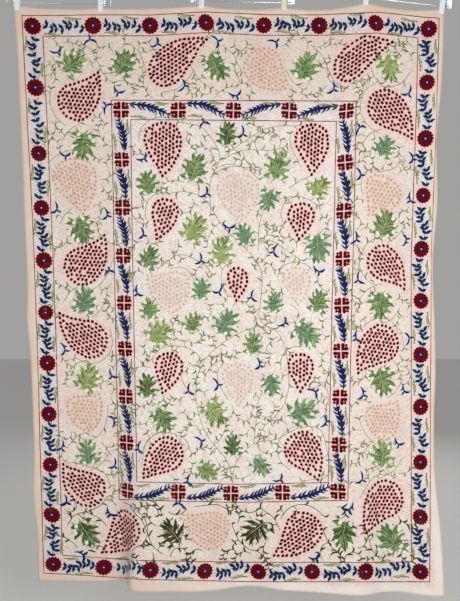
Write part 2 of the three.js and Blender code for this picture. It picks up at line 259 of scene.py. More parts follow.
# Leaves as read off the photograph: middle, span, heading of the tip in degrees (0 right, 90 down), and shade
Leaf = namedtuple("Leaf", "x y span heading shade")
LEAVES = [
    Leaf(215, 205, 115, -40, "fresh"), Leaf(405, 205, 112, -60, "mid"), Leaf(755, 212, 110, 60, "mid"),
    Leaf(1087, 212, 118, -70, "fresh"), Leaf(1398, 212, 110, 80, "yellow"),
    Leaf(243, 508, 112, 100, "mid"), Leaf(1378, 505, 92, -60, "teal"), Leaf(226, 826, 112, 70, "mid"),
    Leaf(1378, 790, 112, -80, "mid"), Leaf(228, 1100, 110, -75, "teal"), Leaf(1362, 1092, 112, 95, "mid"),
    Leaf(232, 1400, 112, -60, "yellow"), Leaf(1368, 1383, 114, 70, "mid"),
    Leaf(222, 1690, 102, -100, "teal"), Leaf(1365, 1670, 112, -85, "fresh"),
    Leaf(208, 2008, 118, 60, "dark"), Leaf(548, 2000, 122, -130, "olive"),
    Leaf(875, 1978, 124, 135, "olive"), Leaf(1215, 1985, 115, 100, "dark"),
    Leaf(1395, 2000, 128, -120, "mid"), Leaf(792, 462, 95, -85, "dark"), Leaf(665, 590, 114, -70, "mid"),
    Leaf(978, 578, 118, -75, "fresh"), Leaf(486, 648, 95, -100, "mid"), Leaf(1135, 655, 95, -50, "yellow"),
    Leaf(660, 818, 115, -60, "yellow"), Leaf(943, 702, 90, 110, "teal"), Leaf(848, 838, 88, -110, "teal"),
    Leaf(762, 900, 115, -85, "yellow"), Leaf(483, 930, 90, -65, "mid"), Leaf(1127, 880, 118, 85, "teal"),
    Leaf(680, 1045, 88, -80, "teal"), Leaf(957, 1092, 85, -75, "teal"), Leaf(1127, 1087, 92, -70, "mid"),
    Leaf(480, 1125, 85, -90, "fresh"), Leaf(512, 1218, 108, -35, "yellow"),
    Leaf(645, 1175, 85, -45, "fresh"), Leaf(770, 1172, 112, -60, "teal"),
    Leaf(875, 1250, 92, -80, "fresh"), Leaf(1078, 1208, 118, 30, "teal"), Leaf(462, 1425, 95, -85, "dark"),
    Leaf(520, 1548, 108, 60, "mid"), Leaf(722, 1520, 115, 50, "yellow"), Leaf(943, 1407, 92, 80, "teal"),
    Leaf(1060, 1508, 116, -25, "teal"), Leaf(790, 1650, 85, -90, "dark"), Leaf(685, 1750, 97, 20, "fresh"),
    Leaf(895, 1725, 90, 45, "teal"),
]

# Dark blue hooks as read off the photograph: middle and heading in degrees
Hook = namedtuple("Hook", "x y heading")
HOOKS = [
    Hook(275, 125, -45), Hook(150, 162, 10), Hook(530, 133, -20), Hook(755, 115, 30), Hook(380, 305, 60),
    Hook(335, 370, -80), Hook(625, 290, -35), Hook(700, 425, -60), Hook(465, 555, 0), Hook(170, 545, 40),
    Hook(970, 122, 10), Hook(1190, 285, 80), Hook(1470, 297, 100), Hook(848, 450, 80), Hook(1480, 540, 60),
    Hook(820, 315, 20), Hook(1285, 440, -70), Hook(132, 745, 80), Hook(325, 765, 70), Hook(325, 985, -50),
    Hook(435, 1055, 90), Hook(460, 835, 70), Hook(700, 685, -20), Hook(680, 930, 80), Hook(785, 805, 40),
    Hook(750, 1045, 110), Hook(1285, 600, 60), Hook(1475, 690, 90), Hook(965, 890, 120),
    Hook(1125, 965, 50), Hook(875, 1065, 110), Hook(1270, 840, 80), Hook(1455, 850, -60),
    Hook(1280, 990, 100), Hook(140, 1280, 60), Hook(325, 1380, 80), Hook(325, 1565, -80),
    Hook(730, 1405, 50), Hook(625, 1430, 100), Hook(660, 1630, 30), Hook(990, 1170, -20),
    Hook(895, 1325, 70), Hook(1105, 1430, 10), Hook(1145, 1550, -45), Hook(1290, 1430, 70),
    Hook(1450, 1415, 80), Hook(1465, 1225, -60), Hook(1425, 1620, 60), Hook(1270, 1215, 100),
    Hook(128, 1880, 80), Hook(570, 1885, -25), Hook(300, 1925, 80), Hook(180, 2095, 20),
    Hook(615, 1785, 110), Hook(325, 1730, 90), Hook(1285, 1760, 80), Hook(1240, 1880, 120),
    Hook(1100, 2085, 10), Hook(965, 1778, -5), Hook(120, 1665, 100), Hook(425, 1660, 110),
]

# Stems of the field, each through a few places as read off the photograph
STEMS = [
    ((785, 1795), (768, 1712), (690, 1610), (655, 1500), (652, 1410), (668, 1350)),
    ((664, 1362), (705, 1295), (795, 1225), (890, 1185), (960, 1195), (1000, 1262)),
    ((668, 1350), (664, 1300), (600, 1266), (520, 1275), (480, 1320)),
    ((785, 1795), (800, 1715), (868, 1640), (960, 1618), (1050, 1572), (1130, 1580), (1160, 1690)),
    ((870, 1640), (880, 1560), (890, 1480), (905, 1440)),
    ((905, 1095), (912, 980), (868, 905), (765, 800), (706, 712), (635, 678), (545, 688)),
    ((900, 895), (908, 790), (945, 718), (1060, 690), (1130, 722)),
    ((722, 760), (722, 650), (745, 592), (800, 572), (872, 594), (902, 625)),
    ((745, 592), (760, 530), (700, 440), (610, 418)),
    ((770, 555), (850, 520), (960, 518), (1010, 505)),
    ((780, 540), (850, 490), (940, 440), (1060, 428)),
    ((905, 870), (950, 858), (1005, 890), (1062, 930)),
    ((512, 972), (600, 915), (690, 950), (720, 985)),
    ((905, 1095), (900, 1150), (940, 1192)),
    ((650, 1470), (600, 1400), (605, 1330)),
    ((1000, 1262), (1010, 1400), (990, 1480), (940, 1548)),
    ((1165, 1330), (1150, 1390), (1100, 1395)),
    ((1160, 1480), (1155, 1420), (1110, 1390)),
    ((430, 1740), (455, 1640), (520, 1602), (600, 1625), (628, 1680)),
    ((1020, 660), (1060, 632), (1104, 612)),
    ((1165, 1690), (1150, 1760), (1060, 1780)),
    ((420, 760), (440, 790), (470, 800)),
]

# Half widths of the leaflets in tufts, along the vines and along the filling scrolls
TUFT_HALF = 3.2
VINE_HALF = 3.4
SCROLL_HALF = 3.3

# Spacing of the leaflets along the stems of the field, over the bunches and round the ring
FIELD_GAP = 36
ARCH_GAP = 60
RING_GAP = 30

# How far the vines keep from the bunches, from each other and from the cloth's edge
ARCH_CLEARANCE = (15, 27)
FIELD_CLEARANCE = 24.5
RING_CLEARANCE = 20.5
RING_EDGE = 122
FILL_EDGE = 124
FILL_TRIES = 16000
SHORTEST_RUN = 6

# Room that the filling leaves: shares of a bunch's width and a leaf's span, then sizes
BUNCH_ROOM = 0.27
LEAF_ROOM = 0.46
HOOK_ROOM = 14
STEM_ROOM = 4
FRAME_ROOM = 16

# Filling scrolls: how often one is drawn anew until it is free, and points along its stem
SCROLL_TRIES = 8
SCROLL_STEPS = 10

# Leaflets below the inner frame are longer and wider by these shares
FOOT_LENGTHENING = 1.15
FOOT_WIDENING = 1.35

# A stem that winds between two motifs: places along and across the way from one to the other
WINDING = ((-66, -82), (-24, -48), (0, 0), (24, 48), (66, 82))

# The hem: its width, and the stitches that hold it
HEM_WIDTH = 20
HEM_STITCH_INSET = 17
HEM_STITCH = 5
HEM_STITCH_PITCH = 10
HEM_STITCH_ROOM = 6
HEM_STITCH_HALVES = (0.35, 0.5, 0.35)

# Guard lines: points along them, and the range of their half widths
LINE_STEP = 14
LINE_HALVES = (1.3, 1.8)

# Roughness of glossy silk and of duller cotton thread
SILK = 0.5
GREEN_SILK = 0.55
COTTON_THREAD = 0.6

# The camera
CAMERA_PITCH = 1.5
CAMERA_LENS = 48.04
CAMERA_SENSOR = 36

# Copies of the CAD's pieces: metres between doubles, and angles in degrees of flat, sharp and shaded edges
DOUBLES = 1e-5
FLAT_ANGLE = 0.5
SHARP_ANGLE = 30
SHADED_ANGLE = 32

# Lights: size and place in metres, and the place that they face
Lamp = namedtuple("Lamp", "name size place")
LAMPS = [
    Lamp("key", 1.4, (0.8, -2.2, -1.2)),
    Lamp("fill", 2.4, (-2.2, -2.6, -0.5)),
    Lamp("back", 2.4, (0.6, 3.4, 0.2)),
]
CLOTH_MIDDLE = (-0.03, 0, -1.2)

# The floor's half side and how far its middle is behind the cloth, in metres, and the sky
FLOOR_SIZE = 9
FLOOR_SETBACK = 2
SKY_COLOUR = (1, 0.99, 0.98, 1)


def srgb(red, green, blue):
    """A colour from 0 to 255, as given, in the linear numbers that Blender uses."""
    shares = np.array([red, green, blue]) / 255
    linear = np.where(shares <= 0.04045, shares / 12.92, ((shares + 0.055) / 1.055) ** 2.4)
    return tuple(float(value) for value in linear)


# What a user would change

def size_property(name, description, default):
    return FloatProperty(name=name, description=description, default=default, min=0, unit="LENGTH")


def colour_property(name, description, red, green, blue):
    return FloatVectorProperty(
        name=name, description=description, default=srgb(red, green, blue), min=0, max=1, subtype="COLOR")


class BedspreadCloth(bpy.types.PropertyGroup):
    """Sizes and colours of the cotton."""

    thickness: size_property("Thickness", "Thickness of the cotton", 0.0012)
    hem_thickness: size_property("Hem thickness", "Thickness of the turned hem", 0.0019)
    weave_pitch: size_property("Weave", "Spacing of the yarns", 0.0016)
    cotton: colour_property("Cotton", "Cotton between the motifs", 245, 240, 236)
    margin: colour_property("Margin", "Cotton outside the borders", 228, 207, 189)
    pink: colour_property("Pink", "Tint round crimson threads", 255, 198, 196)
    peach: colour_property("Peach", "Tint under the pale bunches", 232, 208, 190)
    blue: colour_property("Blue", "Tint round dark blue threads", 224, 229, 240)
    green: colour_property("Green", "Tint round green threads", 243, 240, 224)


class BedspreadThreads(bpy.types.PropertyGroup):
    """Colours of the embroidery threads."""

    stitch_pitch: size_property("Stitches", "Spacing of the satin stitches", 0.0011)
    maroon: colour_property("Maroon", "Grapes of the dark bunches", 82, 1, 9)
    crimson: colour_property("Crimson", "Rosettes", 100, 3, 22)
    garnet: colour_property("Garnet", "Florets", 88, 2, 10)
    plum: colour_property("Plum", "Middles of the rosettes", 70, 16, 54)
    white: colour_property("White", "Eyes of the rosettes", 226, 214, 226)
    rose: colour_property("Rose", "Eyes of the florets", 226, 160, 156)
    apricot: colour_property("Apricot", "Grapes of the pale bunches", 218, 178, 152)
    navy: colour_property("Navy", "Sprays of the frame and hooks of the field", 30, 38, 86)
    ink: colour_property("Ink", "Leaf sprigs of the border", 32, 42, 76)
    pale_blue: colour_property("Pale blue", "Pale leaflets of the border sprigs", 214, 222, 234)
    bark: colour_property("Bark", "Stems of the vines", 114, 108, 82)
    stem: colour_property("Stem", "Leaflets of the vines", 128, 132, 98)
    olive: colour_property("Olive", "Light leaflets of the vines", 170, 170, 120)
    deep_olive: colour_property("Deep olive", "The two darkest leaves", 62, 64, 34)
    dark_green: colour_property("Dark green", "Dark leaves", 82, 106, 66)
    mid_green: colour_property("Mid green", "Middle shade of the leaves", 124, 152, 104)
    teal_green: colour_property("Teal green", "Bluish leaves", 118, 154, 126)
    yellow_green: colour_property("Yellow green", "Light leaves", 168, 180, 112)
    vein: colour_property("Vein", "Veins of the leaves", 196, 206, 150)
    hollow: colour_property("Hollow", "Gaps between the leaves' lobes", 236, 241, 214)
    line: colour_property("Line", "Guard lines", 128, 44, 52)
    hem: colour_property("Hem thread", "Stitches of the hem", 226, 212, 200)


class BedspreadHangers(bpy.types.PropertyGroup):
    """Sizes and colours of the hangers and clips."""

    edge_rounding: size_property("Edge rounding", "Radius of the mouldings' edges", 0.0008)
    clip_white: colour_property("Clip white", "Bluish-white clips", 226, 232, 238)
    clip_yellowed: colour_property("Clip yellowed", "The clip that has yellowed", 226, 218, 186)
    clear_plastic: colour_property("Clear plastic", "Hanger bodies", 222, 228, 234)
    bright_steel: colour_property("Bright steel", "Bars and hooks", 214, 217, 220)


class BedspreadStage(bpy.types.PropertyGroup):
    """The floor and the light."""

    floor_drop: size_property("Floor drop", "Floor below the hem", 0.2)
    floor_colour: colour_property("Floor", "Floor colour", 226, 225, 222)
    key_power: FloatProperty(name="Key light", description="Main light", default=36, min=0, unit="POWER")
    fill_power: FloatProperty(name="Fill light", description="Soft light", default=24, min=0, unit="POWER")
    back_power: FloatProperty(name="Back light", description="Light behind", default=36, min=0, unit="POWER")
    sky: FloatProperty(name="Sky", description="Light from all round", default=0.36, min=0)


# Curves of the hung cloth

def smooth_rise(start, full, value):
    part = np.clip((value - start) / (full - start), 0, 1)
    return part * part * (3 - 2 * part)


def bell(part):
    return np.where(np.abs(part) < 1, 0.5 + 0.5 * np.cos(np.pi * np.clip(part, -1, 1)), 0)


def lerp(start, finish, part):
    return start + (finish - start) * part


def edge_at(rows, down):
    """A smooth curve through the rows of an edge table."""
    downs = np.array([row.down for row in rows])
    places = np.array([row.x for row in rows])
    low = np.maximum(np.arange(len(rows)) - 1, 0)
    high = np.minimum(np.arange(len(rows)) + 1, len(rows) - 1)
    slopes = (places[high] - places[low]) / (downs[high] - downs[low])
    later = max(1, int(np.searchsorted(downs, down)))
    span = downs[later] - downs[later - 1]
    part = (down - downs[later - 1]) / span
    rest = 1 - part
    level = places[later - 1] * (1 + 2 * part) * rest**2 + places[later] * (3 - 2 * part) * part**2
    tilt = slopes[later - 1] * rest - slopes[later] * part
    return level + tilt * part * rest * span


def fold_depth(across, down):
    """Depth of the cloth behind the hanging plane."""
    behind = 1 - smooth_rise(STEP.left, STEP.right, across)
    depth = STEP.depth * behind * smooth_rise(STEP.start, STEP.full, down)
    for fold in FOLDS:
        middle = fold.across + fold.lean * (1 - down)
        depth += fold.depth * bell((across - middle) / fold.half) * smooth_rise(fold.start, fold.full, down)
    return depth * smooth_rise(FLAT_TOP, 4 * FLAT_TOP, down)


def crease_depth(across, down):
    """Depth of the small creases, over a grid of flat places."""
    depth = np.zeros_like(across)
    for crease in CREASES:
        turn = math.radians(crease.turn)
        from_x = across - crease.across
        from_y = down - crease.down
        along = (from_y * math.cos(turn) - from_x * math.sin(turn)) / crease.length
        aside = (from_x * math.cos(turn) + from_y * math.sin(turn)) / crease.half
        ends = smooth_rise(0, 0.2, along) * (1 - smooth_rise(0.55, 1, along))
        depth += crease.depth * bell(aside) * ends
    return depth


def clip_grips():
    """Where the clips grip the cloth's top edge."""
    grips = []
    for hanger in HANGERS:
        tilt = math.radians(hanger.tilt)
        for clip in hanger.clips:
            below = -HANGER_DROP - clip.tuck
            x = hanger.x + clip.along * math.cos(tilt) + below * math.sin(tilt)
            z = hanger.z - clip.along * math.sin(tilt) + below * math.cos(tilt)
            grips.append((x, z))
    return np.array(grips)


def top_edge(x):
    """Height of the cloth's top edge, which sags from clip to clip."""
    grip_x, grip_z = clip_grips().T
    span = np.clip(np.searchsorted(grip_x, x) - 1, 0, len(SPAN_SAGS) - 1)
    part = np.clip((x - grip_x[span]) / (grip_x[span + 1] - grip_x[span]), 0, 1)
    return np.interp(x, grip_x, grip_z) - 4 * np.array(SPAN_SAGS)[span] * part * (1 - part)


def reading_frame():
    """The map from places read between the cloth's corners into the hanging plane."""
    wide, high = READ_SIZE
    rows = []
    goals = []
    for (u, v), (x, z) in zip(((0, 0), (wide, 0), (wide, high), (0, high)), READ_CORNERS):
        rows.append((u, v, 1, 0, 0, 0, -u * x, -v * x))
        rows.append((0, 0, 0, u, v, 1, -u * z, -v * z))
        goals += [x, z]
    return np.append(np.linalg.solve(rows, goals), 1).reshape(3, 3)


class Drape:
    """The hung cloth as a grid of points, which takes places on the flat cloth into the room."""

    def __init__(self):
        self.across = np.linspace(0, CLOTH_WIDTH, COLUMNS + 1)
        self.points = np.array([self.row(down) for down in np.linspace(0, 1, ROWS + 1)])
        flat_x, flat_y = np.meshgrid(self.across, np.linspace(0, CLOTH_LENGTH, ROWS + 1))
        self.points -= self.facing() * crease_depth(flat_x, flat_y)[:, :, None]
        self.normals = self.facing()

    def row(self, down):
        """Points across the cloth. It doesn't stretch, so a steep fold takes up width."""
        left = edge_at(LEFT_EDGE, down)
        right = edge_at(RIGHT_EDGE, down)
        fine = np.linspace(0, CLOTH_WIDTH, COLUMNS * STEPS_PER_COLUMN + 1)
        slope = np.diff(fold_depth(fine, down)) / np.diff(fine)
        reach = np.concatenate([[0], np.cumsum(np.sqrt(np.maximum(0.1, 1 - slope**2)))])
        reach = reach[::STEPS_PER_COLUMN] / reach[-1]
        part = self.across / CLOTH_WIDTH
        corners = np.array([LEFT_EDGE[0].x, RIGHT_EDGE[0].x])
        top_left, top_right = top_edge(corners)
        top_middle = (top_left + top_right) / 2
        hem_left = top_left - CLOTH_LENGTH + TAKE_UP_LEFT
        hem_right = top_right - CLOTH_LENGTH + TAKE_UP_RIGHT
        scallop = (top_edge(lerp(*corners, part)) - top_middle) * (1 - down) ** 2
        height = lerp(top_middle, lerp(hem_left, hem_right, part), down) + scallop
        return np.stack([lerp(left, right, reach), fold_depth(self.across, down), height], axis=1)

    def facing(self):
        """Directions straight out of the embroidered side."""
        out = np.cross(np.gradient(self.points, axis=0), np.gradient(self.points, axis=1))
        return out / np.linalg.norm(out, axis=2, keepdims=True)

    def place(self, flat, lift):
        """Points in the room, in metres, of places on the flat cloth lifted from its middle surface."""
        column = np.clip(flat[:, 0] / CLOTH_WIDTH * COLUMNS, 0, COLUMNS - 1e-6)
        row = np.clip(flat[:, 1] / CLOTH_LENGTH * ROWS, 0, ROWS - 1e-6)
        i = column.astype(int)
        j = row.astype(int)
        a = (column - i)[:, None]
        b = (row - j)[:, None]

        def blend(grid):
            upper = lerp(grid[j, i], grid[j, i + 1], a)
            lower = lerp(grid[j + 1, i], grid[j + 1, i + 1], a)
            return lerp(upper, lower, b)

        return MM * (blend(self.points) + blend(self.normals) * lift[:, None])

    def flat(self, places):
        """The places on the flat cloth that show at places read off the photograph."""
        places = np.asarray(places, float)
        goal = np.column_stack([places, np.ones(len(places))]) @ reading_frame().T
        goal = goal[:, :2] / goal[:, 2:]
        eye = np.array(EYE)
        flat = places.copy()
        for _ in range(READ_ROUNDS):
            point = self.place(flat, np.zeros(len(flat))) / MM
            nearness = eye[1] / (eye[1] - point[:, 1:2])
            seen = eye[[0, 2]] + (point[:, [0, 2]] - eye[[0, 2]]) * nearness
            flat += (goal - seen) * (1, -1)
        return flat

    def spot(self, x, y):
        return self.flat([(x, y)])[0]


DRAPE = Drape()


class Ground:
    """The soft tints that show on the cotton around the threads."""

    def __init__(self):
        self.tints = []

    def tint(self, place, colour, radius, strength):
        self.tints.append((np.array(place), radius, np.array(colour), strength))

    def paint(self, cotton, margin):
        """The cotton's colour at every point of the grid, with the share of it that is embroidered."""
        x, y = np.meshgrid(DRAPE.across, np.linspace(0, CLOTH_LENGTH, ROWS + 1))
        inset = np.minimum(np.minimum(x, CLOTH_WIDTH - x), np.minimum(y, CLOTH_LENGTH - y))
        inside = smooth_rise(*MARGIN_RISE, inset)[:, :, None]
        beside = np.maximum(FRAME_LOW[0] - x, x - FRAME_HIGH[0])
        beyond = np.maximum(beside, np.maximum(FRAME_LOW[1] - y, y - FRAME_HIGH[1]))
        tan = TAN[0] + TAN[1] * smooth_rise(*TAN_RISE, y)
        band = (smooth_rise(*BAND_RISE, beyond) * tan)[:, :, None]
        foot = PALE_FOOT * (smooth_rise(*PALE_RISE_DOWN, y) * smooth_rise(*PALE_RISE_ACROSS, x))[:, :, None]
        colour = lerp(np.array(margin), np.array(cotton), np.maximum(inside * (1 - band), foot))
        for place, radius, tint, strength in self.tints:
            away = np.hypot(x - place[0], y - place[1]) / radius
            near = away < 2
            weight = (strength * np.exp(-away[near] ** 2))[:, None]
            colour[near] = lerp(colour[near], tint, weight)
        return np.concatenate([colour, inside], axis=2)


GROUND = Ground()


# Paths on the flat cloth

def direction(angle):
    return np.array([math.cos(angle), math.sin(angle)])


def heading_of(vector):
    return math.atan2(vector[1], vector[0])


def spline(course, step):
    """Points about a step apart along a smooth curve through a few places."""
    places = np.asarray(course, float)
    ends = np.vstack([2 * places[0] - places[1], places, 2 * places[-1] - places[-2]])
    points = []
    for before, start, finish, after in zip(ends, ends[1:], ends[2:], ends[3:]):
        count = max(2, int(np.linalg.norm(finish - start) / step))
        for part in np.arange(count) / count:
            bend = (2 * before - 5 * start + 4 * finish - after) * part**2
            twist = (3 * start - before - 3 * finish + after) * part**3
            points.append(start + 0.5 * ((finish - before) * part + bend + twist))
    return np.array(points + [places[-1]])


def curl(start, heading, length, turn, steps):
    """Points of a curve that leaves a place at a heading and turns steadily as it goes."""
    angles = heading + turn * (np.arange(steps) + 0.5) / steps
    moves = np.stack([np.cos(angles), np.sin(angles)], axis=1) * (length / steps)
    return np.vstack([start, start + np.cumsum(moves, axis=0)])


def widths(steps, widest, peak, thin=0.3):
    """Half widths of a pointed strip that is widest at a share of its length."""
    part = np.linspace(0, 1, steps + 1) ** (math.log(0.5) / math.log(peak))
    return np.maximum(widest * np.sin(np.pi * part) ** 0.8, thin)


def oval(place, along, across, turn, sides):
    angle = np.arange(sides) * 2 * np.pi / sides
    ring = np.stack([along * np.cos(angle), across * np.sin(angle)], axis=1)
    return place + ring @ np.array([direction(turn), direction(turn + np.pi / 2)])


class Stitchwork:
    """Stitched shapes on the flat cloth, joined into one mesh.

    Every shape is closed and goes through the cloth, so its stitches show on the reverse too.
    """

    def __init__(self, name, seed):
        self.name = name
        self.random = np.random.default_rng(seed)
        self.flats = []
        self.lifts = []
        self.threads = []
        self.colours = []
        self.faces = []
        self.count = 0
        self.kept_clear = np.empty((0, 3))

    def is_free(self, places):
        """Which of these places are outside all that the work keeps clear of."""
        away = places[:, None, :] - self.kept_clear[:, :2]
        return np.all(np.hypot(away[:, :, 0], away[:, :, 1]) > self.kept_clear[:, 2], axis=1)

    def back(self):
        """The next shape's depth on the reverse, which differs a little from its neighbours' depths."""
        return BACK - BACK_SPREAD * (len(self.flats) * BACK_STEP % 1)

    def add(self, flat, lift, thread, colour, faces):
        self.flats.append(flat)
        self.lifts.append(lift)
        self.threads.append(thread)
        self.colours.append(np.tile(colour, (len(flat), 1)))
        self.faces.extend(tuple(int(corner) + self.count for corner in face) for face in faces)
        self.count += len(flat)

    def shade(self, colour, spread=0.12):
        """A thread's colour, a little lighter or darker from stitch to stitch."""
        return np.clip(np.array(colour) * (1 + spread * self.random.uniform(-1, 1)), 0, 1)

    def blade(self, path, half, colour, height=0.8, over=0):
        """A strip along a path, with half its width at each point. It may lie over another shape."""
        step = np.gradient(path, axis=0)
        step /= np.linalg.norm(step, axis=1, keepdims=True)
        aside = np.stack([-step[:, 1], step[:, 0]], axis=1) * half[:, None]
        level = np.ones(len(path))
        crown = FACE + over + height * np.sqrt(half / half.max())
        rim = (RIM + over) * level
        flat = np.stack([path + aside, path, path - aside, path - aside, path + aside], axis=1)
        back = self.back() * level
        lift = np.stack([rim, crown, rim, back, back], axis=1)
        reach = np.concatenate([[0], np.cumsum(np.linalg.norm(np.diff(path, axis=0), axis=1))])
        sides = np.stack([half, 0 * half, -half, -half, half], axis=1)
        thread = np.stack([np.repeat(reach[:, None], sides.shape[1], axis=1), sides], axis=2)
        faces = []
        corners = lift.shape[1]
        last = corners * (len(path) - 1)
        for station in range(0, last, corners):
            beyond = station + corners
            for corner in range(corners):
                later = (corner + 1) % corners
                faces.append((station + corner, beyond + corner, beyond + later, station + later))
        faces.append(range(corners))
        faces.append(range(last + corners - 1, last - 1, -1))
        self.add(flat.reshape(-1, 2), lift.reshape(-1), thread.reshape(-1, 2), self.shade(colour), faces)

    def patch(self, outline, colour, height=0.8, crown=0.75, grain=0.0, over=0):
        """A padded patch inside an outline. It may lie over another shape."""
        x, y = outline.T
        if np.sum(x * np.roll(y, -1) - np.roll(x, -1) * y) > 0:
            outline = outline[::-1]
        sides = len(outline)
        middle = outline.mean(axis=0)
        inner = middle + (outline - middle) * crown
        flat = np.vstack([outline, inner, middle, outline, middle])
        level = np.ones(sides)
        top = FACE + over + height
        shoulder = FACE + over + SHOULDER * height
        back = self.back()
        lift = np.concatenate([(RIM + over) * level, shoulder * level, [top], back * level, [back]])
        thread = (flat - middle) @ np.array([direction(grain), direction(grain + np.pi / 2)]).T
        faces = []
        for corner in range(sides):
            later = (corner + 1) % sides
            faces.append((corner, later, sides + later, sides + corner))
            faces.append((sides + corner, sides + later, 2 * sides))
            under = 2 * sides + 1
            faces.append((under + corner, under + later, later, corner))
            faces.append((under + later, under + corner, 3 * sides + 1))
        self.add(flat, lift, thread, self.shade(colour), faces)

    def piece(self, material):
        """The joined mesh, laid on the hung cloth."""
        flat = np.concatenate(self.flats)
        mesh = bpy.data.meshes.new(self.name)
        mesh.from_pydata(DRAPE.place(flat, np.concatenate(self.lifts)), [], self.faces)
        mesh.shade_smooth()
        corners = np.empty(len(mesh.loops), int)
        mesh.loops.foreach_get("vertex_index", corners)
        thread = mesh.uv_layers.new(name="thread")
        thread.data.foreach_set("uv", np.concatenate(self.threads)[corners].ravel())
        colours = np.concatenate(self.colours)
        shades = mesh.color_attributes.new("thread_colour", "FLOAT_COLOR", "POINT")
        shades.data.foreach_set("color", np.hstack([colours, np.ones((len(colours), 1))]).ravel())
        return new_piece(self.name, mesh, material)


def new_piece(name, mesh, material):
    """A finished piece of the object, which rides on its one body."""
    piece = bpy.data.objects.new(name, mesh)
    bpy.context.scene.collection.objects.link(piece)
    mesh.materials.clear()
    mesh.materials.append(material)
    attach(piece, "root")
    return piece


# Motifs

def teardrop(bunch, grow, points):
    """The outline of a bunch: round at one end, with a pointed tip that bends to a side."""
    middle = DRAPE.spot(bunch.x, bunch.y)
    axis = DRAPE.spot(bunch.tip_x, bunch.tip_y) - middle
    bend = math.radians(bunch.bend)
    radius = np.linalg.norm(axis) / (2 * math.sin(bend / 2))
    length = radius * bend
    turn = np.linspace(0, 2 * np.pi, points, endpoint=False)
    along = grow * (lerp(-bunch.width / 2, length, 0.5 + 0.5 * np.cos(turn)))
    full = np.sin(turn) * np.abs(np.sin(turn / 2)) ** 1.25
    aside = grow * bunch.width / 2 * full / np.abs(full).max()
    swing = np.maximum(along, 0) / radius
    x = radius * np.sin(swing) + np.minimum(along, 0) - aside * np.sin(swing)
    y = radius * (1 - np.cos(swing)) + aside * np.cos(swing)
    heading = heading_of(axis)
    start = heading - bend / 2
    facing = np.array([direction(start), direction(start + np.pi / 2)])
    return middle + np.stack([x, y], axis=1) @ facing, heading


def even_points(outline, pitch):
    """Places about a pitch apart along a closed outline."""
    loop = np.vstack([outline, outline[0]])
    reach = np.concatenate([[0], np.cumsum(np.linalg.norm(np.diff(loop, axis=0), axis=1))])
    count = max(1, round(reach[-1] / pitch))
    stops = np.arange(count) * reach[-1] / count
    return np.stack([np.interp(stops, reach, loop[:, axis]) for axis in (0, 1)], axis=1)


def bunch_of_grapes(work, bunch, colour, size, tint, strength):
    """Grapes in a ring just inside a teardrop's outline, and in staggered rows inside that."""
    pitch = GRAPE_PITCH
    rim, heading = teardrop(bunch, 1 - 0.9 * pitch / bunch.width, 120)
    edge, _ = teardrop(bunch, 1 - 1.9 * pitch / bunch.width, 60)
    along = direction(heading) * pitch * 1.15
    rows = np.array([along, along / 2 + direction(heading + np.pi / 2) * pitch * 0.95])
    steps = np.arange(-20, 21)
    lattice = np.stack(np.meshgrid(steps, steps), axis=2).reshape(-1, 2) @ rows + rim.mean(axis=0)
    filling = [place for place in lattice if inside_outline(place, edge)]
    set_down = np.empty((0, 2))
    for place in [*even_points(rim, pitch * 1.16), *filling]:
        place = place + work.random.normal(0, 1, 2)
        if np.any(np.hypot(*(set_down - place).T) < pitch * 0.84):
            continue
        set_down = np.vstack([set_down, place])
        length = size * work.random.uniform(1.15, 1.36)
        width = size * work.random.uniform(0.92, 1.06)
        turn = heading + work.random.normal(0, 0.3)
        work.patch(oval(place, length, width, turn, 8), colour, height=1.2, crown=0.78, grain=turn)
        GROUND.tint(place, tint, radius=13, strength=strength)


def inside_outline(place, outline):
    """Whether a closed outline goes once round a place."""
    angles = np.arctan2(*(outline - place).T)
    turns = (np.diff(np.append(angles, angles[0])) + np.pi) % (2 * np.pi) - np.pi
    return abs(turns.sum()) > np.pi


def leaf_shades(threads):
    """Thread colours of each kind of leaf: that of its lobes first, then those of the strokes on them."""
    return {
        "fresh": (threads.mid_green, threads.yellow_green, threads.dark_green, threads.vein),
        "mid": (threads.mid_green, threads.dark_green, threads.yellow_green, threads.dark_green),
        "teal": (threads.teal_green, threads.dark_green, threads.mid_green, threads.vein),
        "yellow": (threads.yellow_green, threads.mid_green, threads.vein, threads.dark_green),
        "dark": (threads.dark_green, threads.deep_olive, threads.mid_green, threads.yellow_green),
        "olive": (threads.deep_olive, threads.deep_olive, threads.bark, threads.deep_olive),
    }


# Pairs of lobes of a leaf: place along its middle line, angle from it in degrees, and reach, in its spans
LOBES = [(-0.28, 106, 0.42), (-0.17, 80, 0.5), (-0.02, 60, 0.5), (0.1, 38, 0.46)]
# Pale ovals on a leaf: place along its middle line and away from it, in its spans
OVALS = [(-0.34, 0.17), (-0.17, 0.34), (0.08, 0.36), (0.29, 0.23)]
# Half widths along a leaf's lobe, along a stroke on it and along the vein, in its spans
LOBE_HALVES = np.array([0.065, 0.085, 0.086, 0.066, 0.01])
STROKE_HALVES = np.array([0.008, 0.017, 0.015, 0.003])
VEIN_HALVES = np.array([0.009, 0.009, 0.008, 0.007, 0.006, 0.005, 0.002])
STROKES = 6
# Half widths along a rosette's petal, in its size, and along a hook's stem
PETAL_HALVES = np.array([0.022, 0.045, 0.075, 0.05])
HOOK_HALVES = (1, 2.4, 3.4, 3.9, 3.6, 2.8)


